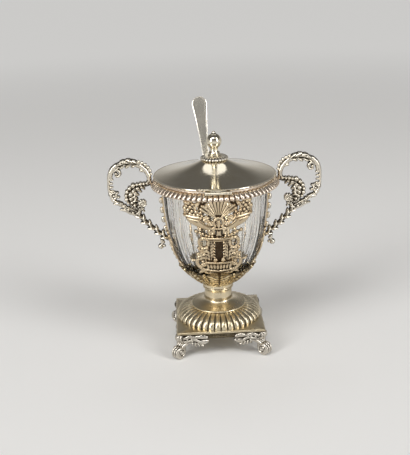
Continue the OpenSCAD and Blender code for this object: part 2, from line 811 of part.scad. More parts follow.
// The spun lid, nearly flat at its upright edge and steeper towards the finial, notched at the back for the spoon
lid_run = lid_r - seat_r;
lid_rise = lid_height - lid_edge;
lid_curve = curve([
    [lid_r, lid_z + lid_edge],
    [lid_r - 0.41 * lid_run, lid_z + lid_edge + 0.175 * lid_rise],
    [seat_r + 0.26 * lid_run, lid_z + lid_height - 0.48 * lid_rise],
    [seat_r, lid_z + lid_height]
], 12);
lid_under = concat([[lid_r - 1.7, lid_z]], [for (p = beside(lid_curve, lid_wall)) if (p[0] < lid_r - 2.4) p]);

module notch() {
    rotate(notch_turn) linear_extrude(lid_z * 2) {
        translate([0, notch_reach]) circle(r = notch_half);
        polygon([
            [-notch_half, notch_reach],
            [notch_half, notch_reach],
            [notch_mouth, lid_r + 2],
            [-notch_mouth, lid_r + 2]
        ]);
    }
}

module lid() color("gainsboro") difference() {
    rotate_extrude() polygon(concat(
        [[lid_r, lid_z]],
        lid_curve,
        [[stud_hole_r, lid_z + lid_height], [stud_hole_r, lid_z + lid_height - lid_wall]],
        [[seat_r - lid_wall, lid_z + lid_height - lid_wall]],
        reversed(lid_under)
    ));
    notch();
}

// The ring under the lid that centres it in the collar
module lid_bezel() color("gainsboro") difference() {
    rotate_extrude() intersection() {
        translate([bezel_r - bezel_wall, lid_z - bezel_drop]) square([bezel_wall, lid_height]);
        translate([0, -solder]) polygon(concat([[0, lid_z - 10], [lid_r, lid_z - 10], [lid_r, lid_z]], lid_under,
            [[0, lid_z + lid_height - lid_wall]]));
    }
    notch();
}

// The finial: a lobed collar, a turned knob on a stud, and the nut inside the lid
module finial_collar() color("silver") difference() {
    rows = [
        for (a = [-60:30:90])
            [
                knob_foot_r + (finial_r - knob_foot_r) * cos(a),
                finial_z + finial_height * (0.36 + (a < 0 ? 0.415 : 0.64) * sin(a)),
                finial_depth * (0.1 + 0.9 * cos(a))
            ]
    ];
    lobed(rows, finial_lobes, 4);
    translate([0, 0, finial_z - 1]) cylinder(r = stud_hole_r, h = finial_height + 2);
}

module finial_knob() color("silver") translate([0, 0, knob_z]) {
    rotate_extrude() polygon(concat(
        [[0, 0], [knob_foot_r - 0.3, 0], [knob_foot_r, 0.25], [knob_foot_r, 0.7], [knob_foot_r - 0.5, 1]],
        curve([
            [neck_r + 0.3, 1.2],
            [neck_r - 0.2, 2.2],
            [neck_r - 0.3, 3.2],
            [neck_r + 0.2, ball_rise - 3]
        ], 6),
        [[0, ball_rise - 3]]
    ));
    translate([0, 0, ball_rise]) sphere(r = ball_r);
    translate([0, 0, ball_rise + ball_r - 0.3]) cylinder(r1 = 1.5, r2 = 0.5, h = tip_height + 0.3);
    stud = finial_height + lid_wall + stud_nut + 0.6;
    translate([0, 0, -stud]) cylinder(r = stud_r, h = stud + 0.5);
}

module finial_nut() color("dimgray") translate([0, 0, finial_z - lid_wall - stud_nut])
    hex_nut(stud_flats, stud_nut - solder, stud_r + 0.01);

// One cast handle on the +X side: the main scroll, its volute and pearls, the flower spray with its
// rosette, and the small ball on the tail
loop_arc = arc([loop_x, loop_z], loop_r, 180, -36, 18);
handle_end = [bowl_r(rim_z - handle_drop, ornament_r) - 0.6, rim_z - handle_drop];
handle_path = concat(loop_arc, [for (i = [1:12]) curve([
    loop_arc[18],
    loop_arc[18] + loop_scale * [-3.4, -4.2],
    handle_end + loop_scale * [12, 17],
    handle_end
], 12)[i]]);
function scroll_size(t) = scroll_r + (scroll_leaf_r - scroll_r) * lookup(t, [
    [0, 0],
    [0.16, 0],
    [0.27, 0.9],
    [0.4, 0.2],
    [0.52, 0.25],
    [0.6, 1],
    [0.72, 0.6],
    [0.86, 0.3],
    [1, 0.4]
]);
spray_path = curve([
    [gadroon_r - 0.4, rim_z + 0.58 * rim_height],
    [loop_x, loop_z] + loop_scale * [0.9, 1],
    [loop_x, loop_z] + loop_scale * [5.9, -8],
    [loop_x, loop_z] + loop_scale * [-0.5, -14.2]
], 12);
volute_at = [loop_x, loop_z] + loop_scale * [7.9, 4.6];
rosette_at = [loop_x, loop_z] + loop_scale * [-6.3, -12.4];
tail_at = handle_end + loop_scale * [4.4, -5.4];

module handle() difference() {
    union() {
        bar(handle_path, [for (i = [0:30]) scroll_size(i / 30)]);
        bar([for (i = [0:12]) volute_at + loop_scale * (2.7 - 0.16 * i) * [cos(30 * i - 20), sin(30 * i - 20)]],
            [for (i = [0:12]) loop_scale * (0.85 - 0.02 * i)], 6);
        for (a = [158:-9.5:103]) translate([loop_x, 0, loop_z]) rotate([0, -a, 0])
            translate([loop_r + scroll_r, 0, 0]) sphere(r = pearl_r);
        bar(spray_path, [for (i = [0:12]) loop_scale * (1.2 + 1.2 * sin(15 * i))]);
        for (i = [2:2:10], side = [-1, 1]) translate([spray_path[i][0], side * berry_r, spray_path[i][1]])
            sphere(r = berry_r * (1 + 0.4 * sin(15 * i)));
        for (i = [19:2:25])
            bar([handle_path[i], handle_path[i] + loop_scale * [2.2, -2.6]], loop_scale * [1.3, 0.5], 6);
        bar([loop_arc[18] - loop_scale * [8.6, 6.8], rosette_at], loop_scale * [1.3, 1.2], 6);
        bar([rosette_at, rosette_at + loop_scale * [1.4, -6.4]], loop_scale * [1.2, 1], 6);
        translate([rosette_at[0], 0, rosette_at[1]]) rotate([90, 0, 0]) {
            cylinder(r = rosette_r, h = rosette_r, center = true);
            cylinder(r = rosette_r * 0.45, h = rosette_r * 1.4, center = true);
        }
        bar(curve([
            handle_end + loop_scale * [1.5, 0.6],
            handle_end + loop_scale * [3, -1.4],
            handle_end + loop_scale * [2, -3.6],
            tail_at
        ], 6), [for (i = [0:6]) loop_scale * (1 - 0.05 * i)], 6);
        translate([tail_at[0], 0, tail_at[1]]) sphere(r = tail_ball_r);
    }
    rotate_extrude() polygon(concat([[0, rim_z]], beside(bowl_curve, ornament_r + solder), [[0, calyx_z]]));
    translate([0, 0, rim_z - 1]) cylinder(r = gadroon_r + solder, h = rim_height + 1 + solder);
}

module right_handle() color("silver") handle();

module left_handle() color("silver") mirror([1, 0, 0]) handle();

// The spoon: a dished oval bowl, a slim stem and a handle that widens to a rounded end
bowl_mid = bowl_length / 2;
function bowl_swell(s) = s < bowl_length ? sqrt(max(0, 1 - pow((s - bowl_mid) / bowl_mid, 2))) : 0;
function spoon_width(s) =
    let (
        u = max(0, s - bowl_length) / (spoon_length - bowl_length),
        stem = shank_half + (spoon_end_half - shank_half) * pow(u, 3),
        past = max(0, s - spoon_length + spoon_end_half) / spoon_end_half
    )
        s < bowl_mid ? bowl_half * bowl_swell(s) :
        max(bowl_half * bowl_swell(s), stem * sqrt(1 - past * past));
spoon_rows = concat(
    [for (a = [10:20:90]) bowl_mid * (1 - cos(a))],
    [for (a = [20:20:80]) bowl_mid * (1 + sin(a))],
    [for (k = [1:8]) bowl_length + (spoon_length - spoon_end_half - bowl_length) * k / 8],
    [for (a = [25:20:85]) spoon_length - spoon_end_half * (1 - sin(a))]
);

module spoon_blank() {
    steps = 6;
    n = 2 * (steps + 1);
    points = [
        for (s = spoon_rows)
            let (w = spoon_width(s), dish = bowl_depth * pow(bowl_swell(s), 2))
                for (k = [0:n - 1])
                    let (front = k <= steps, u = front ? 2 * k / steps - 1 : 2 * (n - 1 - k) / steps - 1)
                        [
                            w * u,
                            dish * (1 - u * u) + spoon_thick * (front ? -0.5 : 0.5) * (1 - 0.5 * pow(u, 4)),
                            s
                        ]
    ];
    m = len(spoon_rows);
    walls = [
        for (i = [0:m - 2])
            for (k = [0:n - 1])
                let (q = (k + 1) % n)
                    [i * n + k, (i + 1) * n + k, (i + 1) * n + q, i * n + q]
    ];
    polyhedron(points, concat(walls, [[for (k = [0:n - 1]) k], [for (k = [n - 1:-1:0]) (m - 1) * n + k]]));
}

module spoon() color("whitesmoke") translate(spoon_foot) rotate([-spoon_back, -spoon_side, 0])
    spoon_blank();

// The piece to make, or all

foot_front_left();
foot_front_right();
foot_back_left();
foot_back_right();
plinth_band();
plinth_plate();
dome();
stem();
calyx();
tie_bolt();
tie_washer();
tie_nut();
glass_liner();
front_panel();
back_panel();
left_strap();
right_strap();
rim_ring();
gadroon_border();
left_handle();
right_handle();
rim_hinge();
hinge_pin();
lid_hinge();
lid();
lid_bezel();
finial_collar();
finial_knob();
finial_nut();
spoon();
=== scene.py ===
"""The looks of a mustard pot: a cast and spun silver stand, a cut glass liner, a hinged lid and a spoon."""
import math

import bmesh
import bpy
import numpy as np
from mathutils import Matrix, Vector


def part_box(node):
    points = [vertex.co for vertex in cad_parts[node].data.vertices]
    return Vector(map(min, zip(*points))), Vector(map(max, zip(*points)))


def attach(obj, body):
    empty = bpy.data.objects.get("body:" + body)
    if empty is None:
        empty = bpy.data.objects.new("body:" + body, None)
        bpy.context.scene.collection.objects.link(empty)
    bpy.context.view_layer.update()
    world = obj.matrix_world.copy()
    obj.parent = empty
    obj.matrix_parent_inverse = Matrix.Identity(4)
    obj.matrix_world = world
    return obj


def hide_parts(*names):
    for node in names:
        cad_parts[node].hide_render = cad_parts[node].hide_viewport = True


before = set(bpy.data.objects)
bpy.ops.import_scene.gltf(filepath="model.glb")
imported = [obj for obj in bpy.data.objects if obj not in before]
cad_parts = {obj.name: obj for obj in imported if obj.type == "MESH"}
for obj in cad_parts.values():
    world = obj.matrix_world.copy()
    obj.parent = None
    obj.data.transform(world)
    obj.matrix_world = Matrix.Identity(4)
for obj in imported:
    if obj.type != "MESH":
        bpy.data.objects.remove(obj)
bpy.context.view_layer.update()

# The four feet are cast silver: a ridged scroll rolled outwards under each corner, a leaf over the knee
# and a leaf wing along each side of the plinth. They are chased after casting and soldered to the plinth's
# band, and their hollows are painted dark, partly as patina and partly as shade.
MM = 0.001


def box_mm(node):
    """A node's lowest and highest corners in millimetres, to a hundredth."""
    return np.round(np.array(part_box(node)) / MM, 2)


PLINTH_HALF = box_mm("plinth_plate")[1, 0]
BAND_HALF = box_mm("plinth_band")[1, 0]
SCROLL_MIDDLE, SCROLL_HALF = (34.455, 3.8), 2.5
KNEE_HALF = 2.1
WING_PLANE, WING_HIGH = BAND_HALF + 0.03, 1.6
WEAR_DEEP = 0.0002


def add(tree, kind, *inputs, **settings):
    """A node of that kind. Its inputs, in order, are other nodes' outputs, values, or None to skip one."""
    made = tree.nodes.new(kind)
    for name, value in settings.items():
        setattr(made, name, value)
    for socket, given in zip(made.inputs, inputs):
        if isinstance(given, bpy.types.NodeSocket):
            tree.links.new(given, socket)
        elif given is not None:
            socket.default_value = given
    return made


def math_of(tree, operation, *values):
    """One step of arithmetic on values."""
    return add(tree, "ShaderNodeMath", *values, operation=operation).outputs[0]


def blend_of(tree, share, first, second):
    """A mix of two colours."""
    empty = [None] * 5
    return add(tree, "ShaderNodeMix", share, *empty, first, second, data_type="RGBA").outputs[2]


def ease_of(tree, value, low, high, first=0.0, last=1.0):
    """A smooth change from a first number to a last one, as a value goes from low to high."""
    ease = {"interpolation_type": "SMOOTHSTEP"}
    return add(tree, "ShaderNodeMapRange", value, low, high, first, last, **ease).outputs[0]


def new_tree(name, kind, inputs, outputs):
    """An empty node group with named sockets: the tree, what it is given and what it puts out."""
    tree = bpy.data.node_groups.new(name, kind)
    for label, socket, value in inputs:
        made = tree.interface.new_socket(label, in_out="INPUT", socket_type=socket)
        if value is not None:
            made.default_value = value
    for label, socket in outputs:
        tree.interface.new_socket(label, in_out="OUTPUT", socket_type=socket)
    return tree, tree.nodes.new("NodeGroupInput").outputs, tree.nodes.new("NodeGroupOutput").inputs


def tarnish_and_shade_group():
    """Old silver: clouds of warm patina, hollows painted dark as patina and as shade, and fine wear that
    dulls and marks the polish.
    """
    number, colour = "NodeSocketFloat", "NodeSocketColor"
    inputs = [("Place", "NodeSocketVector", None), ("Patina_Shade_Depth", number, 0.0)]
    inputs += [(label, colour, None) for label in ("Bright", "Warm", "Dark")]
    inputs += [("Cloud", number, 0.5), ("Gloss", number, 0.2)]
    tree, given, out = new_tree("tarnish_and_shade", "ShaderNodeTree", inputs,
                                [("Colour", colour), ("Roughness", number), ("Height", number)])
    noise = add(tree, "ShaderNodeTexNoise", given["Place"], None, 75.0, 5.0, 0.6).outputs[0]
    cloud = add(tree, "ShaderNodeMapRange", noise, 0.36, 0.7, 0.0, 1.0).outputs[0]
    cloud = math_of(tree, "MULTIPLY", cloud, given["Cloud"])
    fleck = add(tree, "ShaderNodeTexNoise", given["Place"], None, 1300.0, 3.0, 0.6).outputs[0]
    rough_edge = math_of(tree, "MULTIPLY_ADD", fleck, 0.4, -0.2)
    # Hollows blend towards the dark tone: partly patina, partly painted shade.
    deep = ease_of(tree, math_of(tree, "ADD", given["Patina_Shade_Depth"], rough_edge), 0.15, 0.7)
    tone = blend_of(tree, cloud, given["Bright"], given["Warm"])
    tree.links.new(blend_of(tree, deep, tone, given["Dark"]), out["Colour"])
    dull = math_of(tree, "MULTIPLY_ADD", cloud, 0.12, given["Gloss"])
    tree.links.new(math_of(tree, "MULTIPLY_ADD", deep, 0.3, dull), out["Roughness"])
    scratch = add(tree, "ShaderNodeTexNoise", given["Place"], None, 600.0, 6.0, 0.7).outputs[0]
    tree.links.new(scratch, out["Height"])
    return tree


tarnish_and_shade = tarnish_and_shade_group()


def silver(name, bright, warm, dark, cloud, gloss, wear):
    """A silver finish with its own tones, cloudiness, gloss and depth of wear."""
    finish = bpy.data.materials.new(name)
    finish.use_nodes = True
    tree = finish.node_tree
    shader = tree.nodes["Principled BSDF"]
    shader.inputs["Metallic"].default_value = 1.0
    place = add(tree, "ShaderNodeTexCoord").outputs["Object"]
    # Each piece says how dark its hollows are painted, partly as patina and partly as shade.
    hollow = add(tree, "ShaderNodeAttribute", attribute_name="patina_and_shade").outputs["Fac"]
    aged = add(tree, "ShaderNodeGroup", node_tree=tarnish_and_shade)
    tones = {"Bright": bright, "Warm": warm, "Dark": dark, "Cloud": cloud, "Gloss": gloss}
    for label, value in tones.items():
        aged.inputs[label].default_value = value
    tree.links.new(place, aged.inputs["Place"])
    tree.links.new(hollow, aged.inputs["Patina_Shade_Depth"])
    tree.links.new(aged.outputs["Colour"], shader.inputs["Base Color"])
    tree.links.new(aged.outputs["Roughness"], shader.inputs["Roughness"])
    bump = add(tree, "ShaderNodeBump", wear, WEAR_DEEP)
    tree.links.new(aged.outputs["Height"], bump.inputs["Height"])
    tree.links.new(bump.outputs[0], shader.inputs["Normal"])
    return finish


def fitted(made, body, slot, *nodes):
    """Puts a finished piece in the scene on its body and hides the nodes that it stands for. Its slot is not
    used.
    """
    bpy.context.scene.collection.objects.link(made)
    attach(made, body)
    if nodes:
        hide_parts(*nodes)


def turn_out(mesh):
    """Turns all faces of a closed mesh outwards."""
    work = bmesh.new()
    work.from_mesh(mesh)
    bmesh.ops.recalc_face_normals(work, faces=work.faces)
    work.to_mesh(mesh)
    work.free()


def mesh_of(name, parts, finish, sharp=60):
    """One closed mesh from parts in millimetres, each (points, faces, how dark it is painted in the hollows,
    as patina and shade). A face that gives its last corner twice is a triangle."""
    points, faces, depth, count = [], [], [], 0
    for part, sides, deep in parts:
        points.append(np.asarray(part, float))
        corners = (np.asarray(sides) + count).tolist()
        faces += [face[:3] if face[2] == face[3] else face for face in corners]
        depth.append(np.broadcast_to(deep, len(part)))
        count += len(part)
    mesh = bpy.data.meshes.new(name)
    mesh.from_pydata((np.concatenate(points) * MM).tolist(), [], faces)
    hollow = mesh.attributes.new("patina_and_shade", "FLOAT", "POINT")
    hollow.data.foreach_set("value", np.concatenate(depth).astype(np.float32))
    turn_out(mesh)
    mesh.shade_smooth()
    mesh.set_sharp_from_angle(angle=math.radians(sharp))
    mesh.materials.append(finish)
    return bpy.data.objects.new(name, mesh)


def grid_faces(rows, columns, ring_rows=False, ring_columns=True):
    """Four-sided faces between rows of points, closed into rings where asked."""
    r = np.arange(rows if ring_rows else rows - 1)[:, None]
    c = np.arange(columns if ring_columns else columns - 1)[None, :]
    r2, c2 = (r + 1) % rows, (c + 1) % columns
    corners = [r * columns + c, r * columns + c2, r2 * columns + c2, r2 * columns + c]
    return np.stack(np.broadcast_arrays(*corners), -1).reshape(-1, 4)


def line_through(points, per=6):
    """A smooth line through some points."""
    p = np.asarray(points, float)
    p = np.concatenate([[2 * p[0] - p[1]], p, [2 * p[-1] - p[-2]]])
    t = np.linspace(0, 1, per, endpoint=False)[:, None]
    run = [
        0.5 * (2 * b + (c - a) * t + (2 * a - 5 * b + 4 * c - d) * t**2 + (3 * b - a - 3 * c + d) * t**3)
        for a, b, c, d in zip(p, p[1:], p[2:], p[3:])
    ]
    return np.concatenate([*run, p[-2:-1]])


def beside(line, out):
    """A flat line of points moved sideways, to the left of its direction."""
    d = np.gradient(np.asarray(line, float), axis=0)
    d /= np.linalg.norm(d, axis=1)[:, None]
    return line + np.asarray(out) * np.stack([-d[:, 1], d[:, 0]], 1)


def spread(values, share):
    """Values given at even steps, read off at shares from 0 to 1."""
    values = np.atleast_1d(values)
    return np.interp(share, np.linspace(0, 1, len(values)), values)


def extreme(field, cells, pick):
    """The highest or lowest value of a field within that many cells each way."""
    for axis in (0, 1):
        margin = [(cells, cells) if k == axis else (0, 0) for k in (0, 1)]
        windows = np.lib.stride_tricks.sliding_window_view(np.pad(field, margin, "edge"), 2 * cells + 1, axis)
        field = pick(windows, -1)
    return field


def eased(value, low, high):
    """A smooth step from 0 at low to 1 at high."""
    t = np.clip((value - low) / (high - low), 0, 1)
    return t * t * (3 - 2 * t)


class Wax:
    """A sheet of modelling wax, x across and z up, that ornament is laid on in relief before casting."""

    def __init__(self, x_range, z_range, step, fold=lambda x: x):
        self.step = step
        self.at = np.meshgrid(np.arange(*x_range, step), np.arange(*z_range, step), indexing="ij")
        self.shape = self.at[0].shape
        self.x, self.z = fold(self.at[0]).ravel(), self.at[1].ravel()
        self.edge = np.full(self.x.size, -9.0)
        self.height = np.zeros(self.x.size)

    def near(self, points, reach):
        """The spot round some points, as far out as the reach."""
        low, high = np.min(points, 0) - reach, np.max(points, 0) + reach
        return np.nonzero((self.x > low[0]) & (self.x < high[0]) & (self.z > low[1]) & (self.z < high[1]))[0]

    def lay(self, spot, inside, height):
        """Puts wax on a spot of the sheet, inside an outline, over what lies there."""
        self.edge[spot] = np.maximum(self.edge[spot], inside)
        self.height[spot] = np.maximum(self.height[spot], np.where(inside > -self.step, height, 0))

    def follow(self, line, half):
        """The spot near a line, how far it is inside, the way along and across, and the half width."""
        line = np.asarray(line, float)
        half = spread(half, np.linspace(0, 1, len(line)))
        spot = self.near(line, half.max() + 3 * self.step)
        x, z = self.x[spot], self.z[spot]
        inside, along, across, width = (np.full(x.size, value) for value in (-9.0, 0.0, 1.0, 1.0))
        steps = np.linalg.norm(np.diff(line, axis=0), axis=1)
        run = np.concatenate([[0], np.cumsum(steps)]) / steps.sum()
        for k, (dx, dz) in enumerate(np.diff(line, axis=0)):
            px, pz = x - line[k, 0], z - line[k, 1]
            t = np.clip((px * dx + pz * dz) / (dx * dx + dz * dz + 1e-12), 0, 1)
            away = np.hypot(px - t * dx, pz - t * dz)
            wide = half[k] + (half[k + 1] - half[k]) * t
            better = wide - away > inside
            inside = np.where(better, wide - away, inside)
            along = np.where(better, run[k] + (run[k + 1] - run[k]) * t, along)
            across = np.where(better, np.sign(dx * pz - dz * px) * away / wide, across)
            width = np.where(better, wide, width)
        return spot, inside, along, across, width

    def roll(self, line, half, high, base=0.0, reeds=0):
        """A round moulding along a line, split lengthwise into reeds where asked."""
        spot, inside, along, across, _ = self.follow(line, half)
        form = np.sqrt(np.clip(1 - across**2, 0, 1))
        if reeds:
            form *= 0.5 + 0.5 * np.abs(np.sin(math.pi * reeds * (across + 1) / 2)) ** 0.7
        self.lay(spot, inside, base + spread(high, along) * form)

    def leaf(self, line, half, high, lobes, base=0.0, bite=0.4, lean=0.9, cut=0.55):
        """An acanthus leaf along its rib, with lobes that sweep towards its tip."""
        spot, _, along, across, width = self.follow(line, half)
        off = np.abs(across)
        lobe = np.abs(np.sin(math.pi * (lobes * along - lean * off)))
        limit = 1 - bite * (1 - lobe**0.6)
        form = np.clip(1 - (off / limit) ** 2, 0, 1) ** 0.4 * (1 - cut + cut * lobe**0.8)
        form *= 1 - 0.45 * np.exp(-((off / 0.13) ** 2))
        self.lay(spot, (limit - off) * width, base + spread(high, along) * form)

    def dot(self, x, z, r, high, base=0.0):
        """A half ball."""
        spot = self.near([(x, z)], r + 3 * self.step)
        away = np.hypot(self.x[spot] - x, self.z[spot] - z)
        self.lay(spot, r - away, base + high * np.sqrt(np.clip(1 - (away / r) ** 2, 0, 1)))

    def dots(self, spots, high, base=0.0):
        for x, z, r in spots:
            self.dot(x, z, r, high, base)

    def flower(self, x, z, r, petals, high, base=0.0, turn=0.0):
        """An open flower: round petals, dished in the middle, with a round heart."""
        spot = self.near([(x, z)], r + 3 * self.step)
        dx, dz = self.x[spot] - x, self.z[spot] - z
        away = np.hypot(dx, dz) / r
        petal = np.abs(np.sin(petals * (np.arctan2(dz, dx) + turn) / 2))
        limit = 0.72 + 0.28 * petal**0.6
        form = np.clip(1 - (away / limit) ** 4, 0, 1) ** 0.5 * (0.35 + 0.65 * petal**0.7)
        form *= 0.45 + 0.55 * away
        self.lay(spot, (limit - away) * r, base + high * form)
        self.dot(x, z, r * 0.34, high * 0.9, base)

    def coil(self, x, z, r, start, turns, half, high, base=0.0):
        """A volute that winds inwards from an angle in degrees, with a bead for its eye."""
        t = np.linspace(0, 1, int(14 * abs(turns)) + 6)
        a = np.radians(start) + 2 * math.pi * turns * t
        reach = r * (1 - 0.72 * t)
        self.roll(np.stack([x + reach * np.cos(a), z + reach * np.sin(a)], 1), half, high, base)
        self.dot(x, z, r * 0.36, spread(high, 1) * 1.15, base)

    def cast(self, front, back, rim=0.3, reach=0.9):
        """The cast piece: a front and a back skin and the wall round their outline, painted dark in its
        hollows as patina and shade.
        """
        edge, height = self.edge.reshape(self.shape), self.height.reshape(self.shape)
        near = edge > -0.45 * self.step
        cell = near[:-1, :-1] & near[1:, :-1] & near[:-1, 1:] & near[1:, 1:]
        held = np.pad(cell, 1).astype(int)
        held = held[:-1, :-1] + held[1:, :-1] + held[:-1, 1:] + held[1:, 1:]
        used, border = held > 0, (held > 0) & (held < 4)
        gx, gz = np.gradient(edge, self.step)
        slope = np.hypot(gx, gz) + 1e-6
        shift = np.where(border, np.clip(edge / slope, -0.7 * self.step, 0.7 * self.step), 0) / slope
        high = np.maximum(height, rim)
        cells = max(2, int(reach / self.step))
        top, bottom = extreme(high, cells, np.max), extreme(height, cells, np.min)
        raised = (high - bottom) / (top - bottom + 0.05)
        # How far down in a hollow each point lies: painted dark there, partly as patina, partly as shade.
        depth = (eased(top - bottom, 0.1, 0.4) * (1 - eased(raised, 0.2, 0.75)))[used]
        number = np.cumsum(used.ravel()).reshape(self.shape) - 1
        i, k = np.nonzero(cell)
        quad = np.stack([number[i, k], number[i + 1, k], number[i + 1, k + 1], number[i, k + 1]], 1)
        total = int(used.sum())
        pairs = np.stack([quad, np.roll(quad, -1, 1)], -1).reshape(-1, 2)
        edges = pairs.min(1) * total + pairs.max(1)
        _, first, count = np.unique(edges, return_index=True, return_counts=True)
        lip = pairs[first[count == 1]]
        wall = np.stack([lip[:, 1], lip[:, 0], lip[:, 0] + total, lip[:, 1] + total], 1)
        flat = (self.at[0] - shift * gx)[used], (self.at[1] - shift * gz)[used], high[used]
        points = np.concatenate([front(*flat), back(*flat)])
        return points, np.concatenate([quad, quad[:, ::-1] + total, wall]), np.tile(depth, 2)


def banded(line, half_width, thick, ridges, rise):
    """A ridged band along a flat line of (out, up), as points (out, across, up) round its section."""
    across = np.linspace(-1, 1, 8 * ridges + 1)
    ridge = np.abs(np.sin(math.pi * ridges * (across + 1) / 2)) ** 0.6
    # The furrows between the ridges are painted dark, and the end caps a little, as patina and shade.
    section = [(half_width * a, rise * (r - 1), float(0 < abs(a) < 1 and r < 0.4))
               for a, r in zip(across, ridge)]
    section += [(half_width * a, -thick, 0.0) for a in across[::-4]]
    rows = [beside(line, out) for _, out, _ in section]
    points = np.stack([np.stack([row[:, 0], np.full(len(row), wide), row[:, 1]], 1)
                       for row, (wide, _, _) in zip(rows, section)], 1)
    n, m = points.shape[:2]
    middle = points[[0, -1]].mean(1)
    faces = [tuple(f) for f in grid_faces(n, m)]
    for end, row in ((n * m, 0), (n * m + 1, n - 1)):
        faces += [(row * m + k, row * m + (k + 1) % m, end, end) for k in range(m)]
    depth = np.concatenate([np.tile([d for _, _, d in section], n), [0.3, 0.3]])
    return np.concatenate([points.reshape(-1, 3), middle]), faces, depth


def turned(profile, segments):
    """A body of revolution from a closed half section of (radius, height)."""
    r, z = np.asarray(profile, float).T
    r = np.maximum(r, 0.02)[:, None]
    a = np.linspace(0, 2 * math.pi, segments, endpoint=False)[None, :]
    points = np.stack([r * np.cos(a), r * np.sin(a), np.repeat(z[:, None], segments, 1)], -1)
    return points.reshape(-1, 3), grid_faces(len(r), segments, ring_rows=True)


def curve(p, n):
    """A cubic curve through four control points."""
    p, t = np.asarray(p, float), np.linspace(0, 1, n + 1)[:, None]
    return (1 - t)**3 * p[0] + 3 * (1 - t)**2 * t * p[1] + 3 * (1 - t) * t**2 * p[2] + t**3 * p[3]


def foot_scroll():
    """The roll: a drum with three ridges, a spiral on each end, and the ridged leg that runs into it."""
    s = np.linspace(-1, 1, 43)
    ridge = np.abs(np.sin(1.5 * math.pi * (s + 1))) ** 0.55
    drum = [(0.02, -SCROLL_HALF + 0.5), *zip(3.06 + 0.7 * ridge, s * (SCROLL_HALF - 0.1)),
            (0.02, SCROLL_HALF - 0.5)]
    points, faces = turned(drum, 56)
    # The drum's furrows are painted dark and its ends half dark, as patina and shade.
    groove = np.repeat([0.5, *np.where((ridge < 0.45) & (np.abs(s) < 0.95), 0.9, 0.0), 0.5], 56)
    parts = [(points[:, [0, 2, 1]] + (SCROLL_MIDDLE[0], 0, SCROLL_MIDDLE[1]), faces, groove)]
    spiral = Wax((-3.7, 3.7), (-3.7, 3.7), 0.12)
    spiral.dot(0, 0, 3.4, 0.05, 0.3)
    spiral.coil(0, 0, 2.75, 80, 1.6, [0.62, 0.55, 0.45], [0.9, 0.8], 0.25)

    def on_end(x, y, z):
        return np.stack([SCROLL_MIDDLE[0] + x, y, SCROLL_MIDDLE[1] + z], 1)

    for side in (-1, 1):
        parts.append(spiral.cast(lambda x, z, h: on_end(x, side * (1.75 + h), z),
                                 lambda x, z, h: on_end(x, side * 1.4 + 0 * h, z), 0.1))
    leg = line_through([(30.6, 12.4), (30.5, 9.6), (30.45, 6.8), (30.5, 4.4)], 8)
    parts.append(banded(leg[::-1], SCROLL_HALF - 0.1, 1.6, 3, 0.4))
    return parts


def foot_knee():
    """The knee: a block under the corner and the leaf that folds over it, down towards the roll."""
    outer = line_through([(33.7, 7.4), (32.5, 8.6), (32.6, 9.9), (33.6, 11.2), (33.9, 12.6), (33.3, 14.0)], 5)
    length = np.linalg.norm(np.diff(outer, axis=0), axis=1).sum()
    leaf = Wax((-3.0, 3.0), (-0.4, length), 0.12, np.abs)
    leaf.roll([(0, length), (0, 0.2)], [1.0, 1.1, 0.8], [0.6, 0.8, 0.6], 0.3)
    leaf.roll(line_through([(1.5, length), (1.9, length * 0.5), (1.3, 0.4)]),
              [0.9, 0.8, 0.6], [0.5, 0.7, 0.5], 0.3)
    leaf.dot(0, length * 0.68, 1.5, 0.9, 0.4)
    direction = np.gradient(outer, axis=0)
    direction /= np.linalg.norm(direction, axis=1)[:, None]
    run = np.linspace(0, 1, len(outer)) * length

    def laid(x, z, h):
        at = [np.interp(z, run, v) for v in (*outer.T, *direction.T)]
        return np.stack([at[0] + h * at[3], x, np.minimum(at[1] - h * at[2], 14.2)], 1)

    skin = leaf.cast(laid, lambda x, z, h: laid(x, z, 0 * h - 0.5))
    line = np.concatenate([outer, [(33.3, 14.3), (28.6, 14.3), (28.2, 10.9), (30.0, 8.6), (31.4, 7.0)]])
    n = len(line)
    block = np.concatenate([
        np.stack([line[:, 0], np.full(n, side), line[:, 1]], 1) for side in (-KNEE_HALF, KNEE_HALF)])
    sides = [(k, (k + 1) % n, n + (k + 1) % n, n + k) for k in range(n)]
    middle = np.array([(31.4, -KNEE_HALF, 10.4), (31.4, KNEE_HALF, 10.4)])
    caps = [(k + n * s, (k + 1) % n + n * s, 2 * n + s, 2 * n + s) for k in range(n) for s in (0, 1)]
    # The block under the leaf is painted fairly dark all over, as patina and the shade under the corner.
    return [skin, (np.concatenate([block, middle]), sides + caps, 0.6)]


